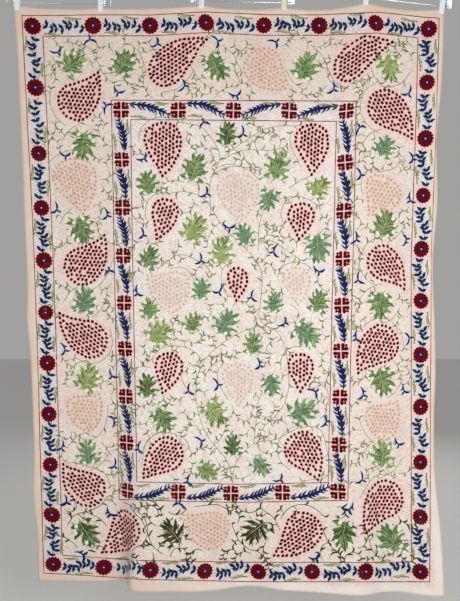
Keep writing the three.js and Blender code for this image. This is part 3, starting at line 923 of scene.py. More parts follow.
def leaf_lobe(work, path, span, fullness, shades):
    """One pointed lobe, with strokes of several greens on it whose ends stand out as points."""
    random = work.random
    work.blade(path, span * fullness * LOBE_HALVES, shades[0], height=0.3, over=0.2)
    lobe = heading_of(path[-1] - path[0])
    for number in range(STROKES):
        lean = lobe + math.radians(17 * number - 42 + random.uniform(-8, 8))
        aside = direction(lobe + np.pi / 2) * span * fullness * 0.026 * (number - 2.5)
        length = span * random.uniform(0.17, 0.27)
        stroke = curl(path[number % 3] + aside, lean, length, random.uniform(-0.4, 0.4), 3)
        colour = shades[1 + (number + random.integers(2)) % 3]
        work.blade(stroke, span * STROKE_HALVES, colour, height=0.3, over=0.5)


def vine_leaf(work, leaf, threads, cloth):
    """A leaf with pairs of ragged lobes in several greens, and pale ovals near its rim."""
    random = work.random
    middle = DRAPE.spot(leaf.x, leaf.y)
    heading = math.radians(leaf.heading)
    ahead = direction(heading)
    span = leaf.span
    shades = leaf_shades(threads)[leaf.shade]
    fullness = 0.65 if leaf.shade == "olive" else 1
    paths = [curl(middle + ahead * span * 0.05, heading, span * 0.46, random.uniform(-0.3, 0.3), 4)]
    for place, angle, reach in LOBES:
        for side in (-1, 1):
            lobe = heading + side * math.radians(angle + random.uniform(-7, 7))
            length = span * reach * random.uniform(0.88, 1.1)
            turn = -side * random.uniform(0.1, 0.6)
            paths.append(curl(middle + ahead * span * place, lobe, length, turn, 4))
    for path in paths:
        leaf_lobe(work, path, span, fullness, shades)
    rib = curl(middle - ahead * span * 0.46, heading, span * 0.7, 0.1, 6)
    work.blade(rib, widths(6, span * fullness * 0.1, peak=0.5), shades[0], height=0.2, over=0.1)
    work.blade(rib, span * VEIN_HALVES, threads.vein, height=0.3, over=0.8)
    for along, aside in OVALS:
        for side in (-1, 1):
            lean = random.uniform(-0.03, 0.03, 2)
            outward = direction(heading + side * np.pi / 2)
            place = middle + (ahead * (along + lean[0]) + outward * (aside + lean[1])) * span
            turn = heading + side * random.uniform(0.4, 1.1)
            gap = oval(place, span * 0.086, span * 0.062, turn, 8)
            work.patch(gap, threads.hollow, height=0.3, grain=turn, over=0.9)
    GROUND.tint(middle, cloth.green, radius=span * 0.6, strength=0.55)


def rosette(work, place, size, threads, cloth):
    """A scalloped crimson rosette with a plum middle and a pale eye."""
    scallops = 15
    points = scallops * 8
    turn = np.arange(points) * 2 * np.pi / points
    radius = size / 2 * (0.87 + 0.13 * np.abs(np.cos(scallops * turn / 2)) ** 0.6)
    rim = place + radius[:, None] * np.stack([np.cos(turn), np.sin(turn)], axis=1)
    work.patch(rim, threads.crimson, height=0.7, crown=0.86)
    for petal in range(scallops):
        path = place + np.outer(np.linspace(0.3, 0.97, 4) * size / 2, direction(petal * 2 * np.pi / scallops))
        work.blade(path, size * PETAL_HALVES, threads.crimson, height=0.5, over=0.5)
    work.patch(oval(place, size * 0.2, size * 0.19, 0, 12), threads.plum, height=0.4, over=0.8)
    work.patch(oval(place, size * 0.05, size * 0.046, 0, 8), threads.white, height=0.4, over=1.2)
    GROUND.tint(place, cloth.pink, radius=size * 0.6, strength=0.85)


def floret(work, place, size, threads, cloth):
    """Four scalloped petals with a pale cross between them and an eye in each."""
    for quarter in range(4):
        part = np.linspace(0, 1, 19)
        angle = np.radians(4 + 82 * part)
        square = 1 / np.maximum(np.cos(angle), np.sin(angle)) ** 0.5
        radius = size / 2 * square * (0.84 + 0.18 * np.abs(np.sin(3 * np.pi * part)) ** 0.7)
        rim = radius[:, None] * np.stack([np.cos(angle), np.sin(angle)], axis=1)
        inner = np.array([[0.032, 0.3], [0.034, 0.034], [0.3, 0.032]]) * size
        turn = quarter * np.pi / 2
        facing = np.array([direction(turn), direction(turn + np.pi / 2)])
        petal = place + np.vstack([rim, inner]) @ facing
        work.patch(petal, threads.garnet, height=0.95, crown=0.82, grain=turn)
        middle = place + np.array([0.27, 0.27]) * size @ facing
        eye = oval(middle, size * 0.068, size * 0.05, turn + 0.8, 8)
        work.patch(eye, threads.rose, height=0.4, over=0.9)
    GROUND.tint(place, cloth.pink, radius=size * 0.6, strength=0.9)


def leaf_sprig(work, start, finish, threads, cloth):
    """A curved stem with pairs of full leaflets that sweep back, and pale ones between them."""
    random = work.random
    aside = np.array([start[1] - finish[1], finish[0] - start[0]]) * 0.07
    path = spline([start, lerp(start, finish, 0.33) + aside, lerp(start, finish, 0.67) - aside, finish], 7)
    work.blade(path, np.full(len(path), 1.1), threads.ink, height=0.6)
    for number, part in enumerate(np.linspace(0.16, 1, SPRIG_PAIRS)):
        station = max(1, int(part * (len(path) - 1)))
        heading = heading_of(path[station] - path[station - 1])
        ahead = direction(heading)
        sway = 1 if number % 2 else -1
        root = path[station] + direction(heading + np.pi / 2) * sway * 3
        for side in (-1, 1):
            length = random.uniform(24, 28) * (1 if side == sway else 0.85)
            away = heading + side * math.radians(random.uniform(140, 150))
            pale = curl(root + ahead * 9, away - side * 0.15, length * 0.9, -side * 0.7, 4)
            work.blade(pale, widths(4, 6.5, peak=0.5), threads.pale_blue, height=0.3)
            leaflet = curl(root, away, length, -side * 0.75, 5)
            half = widths(5, random.uniform(5.6, 6.6), peak=0.4)
            work.blade(leaflet, half, threads.ink, height=1.0, over=0.15)
            GROUND.tint(leaflet[3], cloth.blue, radius=20, strength=0.46)


def feather_spray(work, base, tip, long_side, threads, cloth):
    """A feather between two florets, thin at both ends, its barbs longer on one side."""
    random = work.random
    aside = np.array([base[1] - tip[1], tip[0] - base[0]]) * 0.07 * long_side
    path = spline([base, lerp(base, tip, 0.5) - aside, tip], 7)
    part = np.linspace(0, 1, len(path))
    half = np.interp(part, (0, 0.35, 0.7, 1), (1.5, 6.5, 6, 1.5))
    work.blade(path, half, threads.navy, height=1.0)
    for barb in range(SPRAY_BARBS):
        part = (barb + 0.2) / SPRAY_BARBS
        station = max(1, int(part * (len(path) - 1)))
        heading = heading_of(path[station] - path[station - 1])
        full = math.sin(math.pi * (0.14 + 0.72 * part)) ** 0.7
        for side in (-1, 1):
            reach, spread = LONG_BARBS if side == long_side else SHORT_BARBS
            reach = reach * full * random.uniform(0.86, 1.14)
            barb_path = curl(path[station], heading + side * math.radians(spread), reach, -side * 0.4, 4)
            work.blade(barb_path, widths(4, 4.7 * full, peak=0.32), threads.navy, height=0.8)
            GROUND.tint(barb_path[-1], cloth.blue, radius=17, strength=0.5)


def sprout(work, place, heading, side, threads, cloth):
    """A short olive stem with a few curved leaflets on one side."""
    random = work.random
    stem = curl(place, heading, random.uniform(40, 54), -side * 0.35, 4)
    work.blade(stem, np.linspace(2.6, 1.6, 5), threads.stem, height=0.6)
    for station in (1, 2, 3, 4):
        leaflet = curl(stem[station], heading + side * 0.7, random.uniform(13, 20), -side * 0.8, 3)
        colour = threads.yellow_green if station % 2 else threads.olive
        work.blade(leaflet, widths(3, 4.4, peak=0.42), colour, height=0.7)
    GROUND.tint(stem[2], cloth.green, radius=22, strength=0.45)


def horn(work, start, heading, length, turn, widest, colour, pale):
    """A tapered leaflet that hooks over to one side, with a pale filling inside the hook."""
    if at_foot(start):
        length *= FOOT_LENGTHENING
        widest *= FOOT_WIDENING
    path = curl(start, heading, length, turn, 4)
    if not work.is_free(path).all():
        return
    inward = direction(heading + turn / 2 + math.copysign(np.pi / 2, turn)) * widest
    filling = path[:4] + np.outer((0.3, 0.9, 1.1, 0.7), inward)
    work.blade(filling, widths(3, widest * 1.1, peak=0.5), pale, height=0.2)
    work.blade(path, widths(4, widest * 0.85, peak=0.42), colour, height=0.6, over=0.15)


def at_foot(place):
    """Whether a place is below the inner frame, where the threads are darker."""
    return place[1] > FRAME_HIGH[1] + FRAME_LINE_OFFSET


def vine_shade(work, threads, place):
    """One of the vines' greens."""
    shades = (threads.stem, threads.stem, threads.olive, threads.bark)
    if at_foot(place):
        shades = (threads.deep_olive, threads.deep_olive, threads.deep_olive, threads.bark)
    return shades[work.random.integers(4)]


def vine_stem(work, path, threads):
    """A slim stem."""
    half, colour = (1.5, threads.deep_olive) if at_foot(path[0]) else (1.15, threads.stem)
    work.blade(path, np.full(len(path), half), colour, height=0.55)


def tuft(work, root, heading, size, threads):
    """Leaflets that part at the end of a stem and curl outward."""
    random = work.random
    for lean in (-1, 1):
        lean += random.uniform(-0.3, 0.3)
        length = size * random.uniform(0.8, 1.15)
        colour = vine_shade(work, threads, root)
        horn(work, root, heading + 0.25 * lean, length, 1.9 * lean, TUFT_HALF, colour, threads.hollow)


def vine(work, course, threads, cloth, gap):
    """A stem through a few places, with leaflets and short side stems that curl away from it."""
    random = work.random
    path = spline(course, 9)
    vine_stem(work, path, threads)
    headings = np.arctan2(*np.gradient(path, axis=0).T[::-1])
    reach = np.concatenate([[0], np.cumsum(np.linalg.norm(np.diff(path, axis=0), axis=1))])
    stop = random.uniform(8, gap)
    side = random.choice((-1, 1))
    while stop < reach[-1] - 6:
        station = int(np.searchsorted(reach, stop))
        root = path[station]
        leaving = headings[station] + side * random.uniform(0.25, 0.5)
        if random.random() < 0.4:
            branch = curl(root, leaving, random.uniform(14, 24), side * 1.2, 4)
            vine_stem(work, branch, threads)
            tuft(work, branch[-1], leaving + side * 1.2, random.uniform(17, 24), threads)
        else:
            turn = side * random.uniform(0.9, 2.1)
            colour = vine_shade(work, threads, root)
            length = random.uniform(22, 32)
            horn(work, root, leaving, length, turn, VINE_HALF, colour, threads.hollow)
        GROUND.tint(root, cloth.green, radius=24, strength=0.24)
        side = -side
        stop += gap * random.uniform(0.5, 1.4)
    tuft(work, path[-1], headings[-1], random.uniform(20, 27), threads)


def arch_over(bunch, random):
    """A stem's course round some of the round end of a bunch."""
    outline, _ = teardrop(bunch, 1 + 2 * random.uniform(*ARCH_CLEARANCE) / bunch.width, 48)
    first = 24 + random.integers(-16, -2)
    return outline[first:first + random.integers(10, 19):3]


def ring_courses(work):
    """Courses of the stems that wind between neighbouring motifs, outside the inner frame."""
    middle = np.array([CLOTH_WIDTH, CLOTH_LENGTH]) / 2
    places = [DRAPE.spot(motif.x, motif.y) for motif in GRAPE_BUNCHES + PALE_BUNCHES + LEAVES]
    ring = [place for place in places if np.any(place < FRAME_LOW) or np.any(place > FRAME_HIGH)]
    ring.sort(key=lambda place: heading_of(place - middle))
    courses = []
    for first, second in zip(ring, ring[1:] + ring[:1]):
        along = (second - first) / np.linalg.norm(second - first)
        across = direction(heading_of(along) + np.pi / 2)
        course = np.array([(first + second) / 2 + along * run + across * rise for run, rise in WINDING])
        far_edge = (CLOTH_WIDTH - RING_EDGE, CLOTH_LENGTH - RING_EDGE)
        points = spline(np.clip(course, RING_EDGE, far_edge), 12)
        runs = np.split(np.arange(len(points)), np.flatnonzero(np.diff(work.is_free(points))) + 1)
        runs = [run for run in runs if len(run) >= SHORTEST_RUN and work.is_free(points[run]).all()]
        courses.extend(points[run] for run in runs)
    return courses


def blue_hook(work, hook, threads, cloth):
    """A dark blue stem that forks into leaflets which hook over."""
    random = work.random
    heading = math.radians(hook.heading)
    place = DRAPE.spot(hook.x, hook.y)
    side = random.choice((-1, 1))
    stem = curl(place - direction(heading) * 24, heading - side * 0.6, random.uniform(28, 34), side * 1.1, 5)
    work.blade(stem, np.array(HOOK_HALVES), threads.navy, height=0.8, over=0.2)
    ahead = heading + side * 0.4
    reach = random.uniform(29, 37)
    fork = stem[-1]
    horn(work, fork, ahead + side * 0.1, reach, side * 1.6, 5.6, threads.navy, threads.pale_blue)
    horn(work, fork, ahead - side * 0.6, reach * 0.7, -side * 1.4, 4.8, threads.navy, threads.pale_blue)
    if random.random() < 0.5:
        horn(work, stem[2], ahead - side * 0.5, 22, -side * 1.3, 3.4, threads.navy, threads.pale_blue)
    GROUND.tint(place, cloth.blue, radius=24, strength=0.6)


def tendril(work, place, threads, cloth):
    """A filling scroll: a curling stem with leaflets that curl away, most of them on its outer side."""
    random = work.random
    for _ in range(SCROLL_TRIES):
        heading = random.uniform(0, 2 * np.pi)
        side = random.choice((-1, 1))
        length = random.uniform(64, 116)
        turn = side * random.uniform(1.0, 3.6)
        start = place - direction(heading + turn * 0.35) * length * 0.28
        stem = curl(start, heading, length, turn, SCROLL_STEPS)
        if work.is_free(stem).all():
            break
    vine_stem(work, stem, threads)
    tuft(work, stem[-1], heading + turn, random.uniform(17, 24), threads)
    for station, way in ((2, -side), (4, side), (6, -side), (8, -side)):
        leaving = heading + turn * station / SCROLL_STEPS + way * random.uniform(0.1, 0.4)
        bend = way * random.uniform(0.9, 2.2)
        colour = vine_shade(work, threads, place)
        length = random.uniform(18, 28)
        horn(work, stem[station], leaving, length, bend, SCROLL_HALF, colour, threads.hollow)
    GROUND.tint(place, cloth.green, radius=34, strength=0.24)


# Layout of the borders and the filling

def along_side(side, along, offset=0):
    """Places on the flat cloth at stops along one side of a border."""
    stops, levels = np.array(side.line, float).T
    across = np.interp(along, stops, levels) + offset
    read = np.stack([along, across] if side.level else [across, along], axis=1)
    return DRAPE.flat(read)


def border_places(sides):
    """Places of a border's motifs, and the pairs of neighbours on each side of it."""
    rows = {side.name: along_side(side, np.array(side.stops, float)) for side in sides}
    places = [*rows["top"], *rows["bottom"], *rows["left"][1:-1], *rows["right"][1:-1]]
    pairs = [(name, pair) for name, row in rows.items() for pair in zip(row, row[1:])]
    return places, pairs


def turn_towards(along, aside):
    """Which way one direction turns to reach another, as a sign."""
    return 1 if along[0] * aside[1] - along[1] * aside[0] > 0 else -1


# Which way the sprigs and sprouts on each side of a border slant
OUTER_SLANTS = {"top": (0, 1), "bottom": (0, -1), "left": (-1, 0), "right": (1, 0)}
FRAME_SLANTS = {"top": (0, 1), "bottom": (0, -1), "left": (1, 0), "right": (1, 0)}


def taken_places(vine_courses):
    """What the filling scrolls keep clear of: places and radii on the flat cloth."""
    taken = []
    for bunch in GRAPE_BUNCHES + PALE_BUNCHES:
        outline, _ = teardrop(bunch, 0.55, 9)
        taken.extend((*place, bunch.width * BUNCH_ROOM) for place in outline)
    for leaf in LEAVES:
        taken.append((*DRAPE.spot(leaf.x, leaf.y), leaf.span * LEAF_ROOM))
    for hook in HOOKS:
        taken.append((*DRAPE.spot(hook.x, hook.y), HOOK_ROOM))
    for course in vine_courses:
        taken.extend((*place, STEM_ROOM) for place in spline(course, 14))
    return taken


def free_places(random, taken):
    """Places between the motifs, drawn one by one with a seeded generator."""
    near_edge = (FILL_EDGE, FILL_EDGE)
    far_edge = (CLOTH_WIDTH - FILL_EDGE, CLOTH_LENGTH - FILL_EDGE)
    low = np.array(FRAME_LOW)
    high = np.array(FRAME_HIGH)
    band = FRAME_LINE_OFFSET + FRAME_ROOM
    spots = np.array(taken)
    free = []
    for _ in range(FILL_TRIES):
        place = random.uniform(near_edge, far_edge)
        in_field = np.all(place > low + band) and np.all(place < high - band)
        in_ring = np.any(place < low - band) or np.any(place > high + band)
        if not (in_field or in_ring):
            continue
        clearance = FIELD_CLEARANCE if in_field else RING_CLEARANCE
        if np.all(np.hypot(spots[:, 0] - place[0], spots[:, 1] - place[1]) > spots[:, 2] + clearance):
            free.append(place)
            spots = np.vstack([spots, [*place, clearance]])
    return free


# Shaders

class Reading:
    """A number in a shader. Python's operators on it add Math nodes."""

    def __init__(self, finish, socket):
        self.finish = finish
        self.socket = socket

    def maths(self, operation, *values):
        node = self.finish.node("Math", {"operation": operation}, dict(enumerate(values)))
        return Reading(self.finish, node.outputs[0])

    def __add__(self, other):
        return self.maths("ADD", self, other)

    def __radd__(self, other):
        return self.maths("ADD", other, self)

    def __sub__(self, other):
        return self.maths("SUBTRACT", self, other)

    def __rsub__(self, other):
        return self.maths("SUBTRACT", other, self)

    def __mul__(self, other):
        return self.maths("MULTIPLY", self, other)

    def __rmul__(self, other):
        return self.maths("MULTIPLY", other, self)

    def __abs__(self):
        return self.maths("ABSOLUTE", self)

    def sine(self):
        return self.maths("SINE", self)

    def fraction(self):
        return self.maths("FRACT", self)

    def between(self, low, high):
        """0 below low, 1 above high, and smooth between them."""
        settings = {"interpolation_type": "SMOOTHSTEP"}
        node = self.finish.node("MapRange", settings, {"Value": self, "From Min": low, "From Max": high})
        return Reading(self.finish, node.outputs[0])


class Finish:
    """One material, whose nodes are added one by one."""

    def __init__(self, name):
        self.material = bpy.data.materials.new(name)
        self.material.use_nodes = True
        self.tree = self.material.node_tree
        self.tree.nodes.clear()

    def node(self, kind, settings=None, sockets=None):
        made = self.tree.nodes.new("ShaderNode" + kind)
        for key, value in (settings or {}).items():
            setattr(made, key, value)
        for key, value in (sockets or {}).items():
            self.feed(made.inputs[key], value)
        return made

    def feed(self, socket, value):
        if isinstance(value, Reading):
            value = value.socket
        if isinstance(value, bpy.types.NodeSocket):
            self.tree.links.new(value, socket)
        else:
            socket.default_value = value

    def reading(self, node, output):
        return Reading(self, node.outputs[output])

    def noise(self, vector, scale, detail=2.0, roughness=0.5):
        sockets = {"Vector": vector, "Scale": scale, "Detail": detail, "Roughness": roughness}
        return self.reading(self.node("TexNoise", {}, sockets), "Fac")

    def scaled(self, vector, scale):
        return self.node("VectorMath", {"operation": "MULTIPLY"}, {0: vector, 1: scale}).outputs["Vector"]

    def mix(self, factor, first, second, blend="MIX"):
        settings = {"data_type": "RGBA", "blend_type": blend}
        return self.node("Mix", settings, {0: factor, 6: first, 7: second}).outputs[2]

    def bump(self, height, strength, distance):
        sockets = {"Height": height, "Strength": strength, "Distance": distance}
        return self.node("Bump", {}, sockets).outputs["Normal"]

    def shader(self, **sockets):
        named = {name.replace("_", " "): value for name, value in sockets.items()}
        surface = self.node("BsdfPrincipled", {}, named)
        self.node("OutputMaterial", {}, {"Surface": surface.outputs["BSDF"]})
        return self.material


def rgba(colour):
    return (*colour, 1)


def cotton_finish(cloth):
    """Plain-woven cotton, tinted round the threads and scribbled over faintly between the motifs."""
    finish = Finish("woven_cotton")
    flat = finish.node("UVMap", {"uv_map": "flat"}).outputs["UV"]
    place = finish.scaled(flat, (CLOTH_WIDTH, CLOTH_LENGTH, 0))
    parts = finish.node("SeparateXYZ", {}, {"Vector": place})
    turns = 2 * math.pi / (cloth.weave_pitch / MM)
    weave = (finish.reading(parts, "X") * turns).sine() * (finish.reading(parts, "Y") * turns).sine()
    weft = finish.noise(finish.scaled(place, (0.012, 0.55, 0)), 1, 3)
    warp = finish.noise(finish.scaled(place, (0.55, 0.012, 0)), 1, 3)
    slubs = (weft + warp) * 0.5
    ground = finish.node("Attribute", {"attribute_name": "ground"})
    inside = finish.reading(ground, "Alpha")
    wander = finish.noise(place, 0.022, 2, 0.5)
    scribble = 1 - abs((wander * 7).fraction() - 0.5).between(0.08, 0.2)
    patches = finish.noise(place, 0.016, 2, 0.6).between(0.4, 0.62)
    rings = finish.noise(place, 0.06, 1).between(0.52, 0.68)
    specks = finish.noise(place, 0.2, 2).between(0.35, 0.68)
    colour = ground.outputs["Color"]
    colour = finish.mix(slubs.between(0.35, 0.75) * 0.5, colour, rgba((0.86, 0.84, 0.82)), "MULTIPLY")
    colour = finish.mix(patches * inside * 0.3, colour, rgba(srgb(244, 208, 206)))
    colour = finish.mix(rings * inside * 0.2, colour, rgba(srgb(238, 240, 218)))
    colour = finish.mix(scribble * inside * 0.36, colour, rgba(srgb(214, 172, 164)))
    colour = finish.mix(specks * inside * 0.5, colour, rgba((0.7, 0.69, 0.67)), "MULTIPLY")
    age = finish.noise(place, 0.004, 4, 0.65).between(0.45, 0.8)
    colour = finish.mix(age * 0.22, colour, rgba((0.84, 0.8, 0.74)), "MULTIPLY")
    height = weave * 0.35 + slubs * 0.6 + scribble * inside * 0.25
    return finish.shader(
        Base_Color=colour, Roughness=slubs * 0.1 + 0.86, Normal=finish.bump(height, 0.5, 0.0006),
        Sheen_Weight=0.06, Sheen_Roughness=0.5, Specular_IOR_Level=0.15)


def thread_finish(name, threads, gloss):
    """Twisted thread laid in close stitches, each coloured from the piece, with painted shade between them.
    """
    finish = Finish(name)
    thread = finish.node("UVMap", {"uv_map": "thread"}).outputs["UV"]
    parts = finish.node("SeparateXYZ", {}, {"Vector": thread})
    turns = 2 * math.pi / (threads.stitch_pitch / MM)
    wobble = finish.noise(finish.scaled(thread, (0.25, 0.25, 0)), 1, 2)
    stitch = ((finish.reading(parts, "X") + wobble * 1.6) * turns).sine() * 0.5 + 0.5
    strands = finish.noise(finish.scaled(thread, (0.9, 0.12, 0)), 1, 3)
    room = finish.node("TexCoord").outputs["Object"]
    fade = finish.noise(room, 26, 3)
    colour = finish.node("Attribute", {"attribute_name": "thread_colour"}).outputs["Color"]
    dark = finish.mix(strands.between(0.3, 0.75) * 0.55, colour, rgba((0.66, 0.64, 0.64)), "MULTIPLY")
    worn = finish.mix(fade.between(0.5, 0.85) * 0.04, dark, rgba(srgb(216, 196, 180)))
    # Painted shade: the thread is darker in the grooves between the stitches
    shade = finish.mix((1 - stitch) * 0.3, worn, rgba((0.7, 0.7, 0.72)), "MULTIPLY")
    return finish.shader(
        Base_Color=shade, Roughness=strands * 0.2 + gloss,
        Normal=finish.bump(stitch * 0.7 + strands * 0.5, 0.55, 0.0004),
        Specular_IOR_Level=0.06)


def white_plastic_finish(name, colour):
    """Smooth moulding, faintly yellowed and scuffed."""
    finish = Finish(name)
    room = finish.node("TexCoord").outputs["Object"]
    cloudy = finish.noise(room, 60, 3)
    scuffs = finish.noise(finish.scaled(room, (900, 900, 120)), 1, 2)
    colour = finish.mix(cloudy.between(0.4, 0.8) * 0.35, rgba(colour), rgba((0.9, 0.88, 0.82)), "MULTIPLY")
    return finish.shader(
        Base_Color=colour, Roughness=scuffs * 0.2 + 0.28, Normal=finish.bump(scuffs, 0.08, 0.0002),
        Subsurface_Weight=0.1, Subsurface_Scale=0.004)


def clear_plastic_finish(colour):
    """Clear moulding with faint flow lines and handling marks."""
    finish = Finish("clear_moulding")
    room = finish.node("TexCoord").outputs["Object"]
    flow = finish.noise(finish.scaled(room, (20, 90, 140)), 1, 3)
    marks = finish.noise(room, 45, 4, 0.6)
    return finish.shader(
        Base_Color=finish.mix(marks * 0.2, rgba(colour), rgba((0.8, 0.84, 0.88))),
        Roughness=marks.between(0.45, 0.8) * 0.22 + 0.08, Normal=finish.bump(flow, 0.12, 0.0006),
        Transmission_Weight=0.82, IOR=1.49)


def steel_finish(colour):
    """Bright plated wire with drawing lines and dull spots."""
    finish = Finish("plated_wire")
    room = finish.node("TexCoord").outputs["Object"]
    drawn = finish.noise(finish.scaled(room, (8, 1400, 1400)), 1, 2)
    spots = finish.noise(room, 160, 3).between(0.55, 0.75)
    return finish.shader(
        Base_Color=finish.mix(spots * 0.3, rgba(colour), rgba(srgb(150, 148, 142))), Metallic=1.0,
        Roughness=drawn * 0.16 + spots * 0.14 + 0.1, Normal=finish.bump(drawn, 0.1, 0.0001))


def floor_finish(colour):
    """Pale matt floor."""
    finish = Finish("pale_floor")
    room = finish.node("TexCoord").outputs["Object"]
    grain = finish.noise(room, 3, 4)
    colour = finish.mix(grain * 0.15, rgba(colour), rgba((0.7, 0.69, 0.67)))
    return finish.shader(Base_Color=colour, Roughness=grain * 0.2 + 0.6)


# Hard pieces

def rounded_copy(node, name, rounding, material):
    """A copy of a CAD node with its facets merged and its edges rounded."""
    shape = bmesh.new()
    shape.from_mesh(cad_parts[node].data)
    bmesh.ops.remove_doubles(shape, verts=shape.verts, dist=DOUBLES)
    flat = math.radians(FLAT_ANGLE)
    bmesh.ops.dissolve_limit(shape, angle_limit=flat, verts=shape.verts, edges=shape.edges)
    steep = math.radians(SHARP_ANGLE)
    sharp = [edge for edge in shape.edges if edge.is_manifold and edge.calc_face_angle() > steep]
    bmesh.ops.bevel(
        shape, geom=sharp, offset=rounding, offset_type="OFFSET", affect="EDGES", segments=3, profile=0.5,
        material=-1, clamp_overlap=True)
    mesh = bpy.data.meshes.new(name)
    shape.to_mesh(mesh)
    shape.free()
    mesh.shade_smooth()
    mesh.set_sharp_from_angle(angle=math.radians(SHADED_ANGLE))
    piece = new_piece(name, mesh, material)
    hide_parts(node)
    return piece


# Operators

class BEDSPREAD_OT_bunches(bpy.types.Operator):
    """Stitch the dark and the pale bunches of grapes"""

    bl_idname = "bedspread.bunches"
    bl_label = "Bunches of grapes"

    def execute(self, context):
        threads = context.scene.bedspread_threads
        cloth = context.scene.bedspread_cloth
        work = Stitchwork("grape_bunches", 11)
        for bunch in GRAPE_BUNCHES:
            bunch_of_grapes(work, bunch, threads.maroon, GRAPE_SIZE, cloth.pink, 0.7)
        work.piece(thread_finish("maroon_thread", threads, SILK))
        work = Stitchwork("pale_bunches", 12)
        for bunch in PALE_BUNCHES:
            in_field = FRAME_LOW[0] < bunch.x < FRAME_HIGH[0] and FRAME_LOW[1] < bunch.y < FRAME_HIGH[1]
            colour = lerp(np.array(threads.apricot), np.array(cloth.cotton), 0.35 if in_field else 0)
            bunch_of_grapes(work, bunch, colour, PALE_GRAPE_SIZE, cloth.peach, 0.25 if in_field else 0.45)
        work.piece(thread_finish("apricot_thread", threads, COTTON_THREAD))
        return {"FINISHED"}


class BEDSPREAD_OT_leaves(bpy.types.Operator):
    """Stitch the lobed leaves"""

    bl_idname = "bedspread.leaves"
    bl_label = "Leaves"

    def execute(self, context):
        threads = context.scene.bedspread_threads
        cloth = context.scene.bedspread_cloth
        work = Stitchwork("vine_leaves", 21)
        for leaf in LEAVES:
            vine_leaf(work, leaf, threads, cloth)
        work.piece(thread_finish("green_thread", threads, GREEN_SILK))
        return {"FINISHED"}


class BEDSPREAD_OT_outer_border(bpy.types.Operator):
    """Stitch the rosettes and leaf sprigs of the outer border"""

    bl_idname = "bedspread.outer_border"
    bl_label = "Outer border"

    def execute(self, context):
        threads = context.scene.bedspread_threads
        cloth = context.scene.bedspread_cloth
        places, pairs = border_places(OUTER_SIDES)
        rosettes = Stitchwork("rosettes", 31)
        sprigs = Stitchwork("border_sprigs", 32)
        for side, (first, second) in pairs:
            aside = np.array(OUTER_SLANTS[side])
            along = (second - first) / np.linalg.norm(second - first)
            inset = along * SPRIG_INSET - aside * SPRIG_SLANT
            leaf_sprig(sprigs, first + inset, second - inset, threads, cloth)
            corner = along * SPROUT_INSET + aside * SPROUT_OFFSET
            heading = heading_of(along)
            turn = turn_towards(along, aside)
            sprout(sprigs, first + corner, heading, -turn, threads, cloth)
            sprout(sprigs, second - corner, heading + np.pi, -turn, threads, cloth)
        for place in places:
            rosette(rosettes, place, ROSETTE_SIZE * rosettes.random.uniform(0.95, 1.06), threads, cloth)
        rosettes.piece(thread_finish("crimson_thread", threads, SILK))
        sprigs.piece(thread_finish("ink_thread", threads, SILK))
        return {"FINISHED"}


class BEDSPREAD_OT_inner_frame(bpy.types.Operator):
    """Stitch the florets and feather sprays of the inner frame"""

    bl_idname = "bedspread.inner_frame"
    bl_label = "Inner frame"

    def execute(self, context):
        threads = context.scene.bedspread_threads
        cloth = context.scene.bedspread_cloth
        places, pairs = border_places(FRAME_SIDES)
        florets = Stitchwork("florets", 41)
        sprays = Stitchwork("frame_sprays", 42)
        for side, (first, second) in pairs:
            aside = np.array(FRAME_SLANTS[side])
            along = (second - first) / np.linalg.norm(second - first)
            feather_spray(sprays, *self.spray_ends(side, first, second, along), threads, cloth)
            corner = along * FRAME_SPROUT_INSET + aside * FRAME_SPROUT_OFFSET
            turn = turn_towards(along, aside)
            sprout(sprays, first + corner, heading_of(along), -turn, threads, cloth)
            sprout(sprays, second - corner, heading_of(-along), -turn, threads, cloth)
        for place in places:
            floret(florets, place, FLORET_SIZE * florets.random.uniform(0.96, 1.04), threads, cloth)
        florets.piece(thread_finish("red_thread", threads, SILK))
        sprays.piece(thread_finish("navy_thread", threads, SILK))
        return {"FINISHED"}

    def spray_ends(self, side, first, second, along):
        """Where a spray starts and ends between two florets, and which side of it is longer."""
        if side in ("left", "right"):
            inset = along * UPRIGHT_SPRAY_INSET - UPRIGHT_SPRAY_SLANT
            return second - inset, first + inset, -1
        inset = along * LEVEL_SPRAY_INSET
        down = np.array([0, 1])
        if side == "bottom":
            inset = inset + down * BOTTOM_SPRAY_SLANT
            return first + inset, second - inset, -1
        rise, fall = TOP_SPRAY_SLANTS
        if first[0] > TURNING_STOP:
            return second - inset - down * rise, first + inset + down * fall, -1
        return first + inset - down * rise, second - inset + down * fall, 1


class BEDSPREAD_OT_vines(bpy.types.Operator):
    """Stitch the stems, filling scrolls and dark blue hooks"""

    bl_idname = "bedspread.vines"
    bl_label = "Vines"

    def execute(self, context):
        threads = context.scene.bedspread_threads
        cloth = context.scene.bedspread_cloth
        courses = [DRAPE.flat(course) for course in STEMS]
        stems = Stitchwork("vine_stems", 51)
        stems.kept_clear = np.array(taken_places([]))
        arches = [arch_over(bunch, stems.random) for bunch in GRAPE_BUNCHES + PALE_BUNCHES]
        for course in courses:
            vine(stems, course, threads, cloth, FIELD_GAP)
        for course in arches:
            vine(stems, course, threads, cloth, ARCH_GAP)
        winding = ring_courses(stems)
        for course in winding:
            vine(stems, course, threads, cloth, RING_GAP)
        stems.piece(thread_finish("stem_thread", threads, COTTON_THREAD))
        scrolls = Stitchwork("vine_scrolls", 52)
        scrolls.kept_clear = stems.kept_clear
        for place in free_places(scrolls.random, taken_places(courses + arches + winding)):
            tendril(scrolls, place, threads, cloth)
        scrolls.piece(thread_finish("scroll_thread", threads, COTTON_THREAD))
        hooks = Stitchwork("blue_hooks", 53)
        for hook in HOOKS:
            blue_hook(hooks, hook, threads, cloth)
        hooks.piece(thread_finish("blue_thread", threads, SILK))
        return {"FINISHED"}


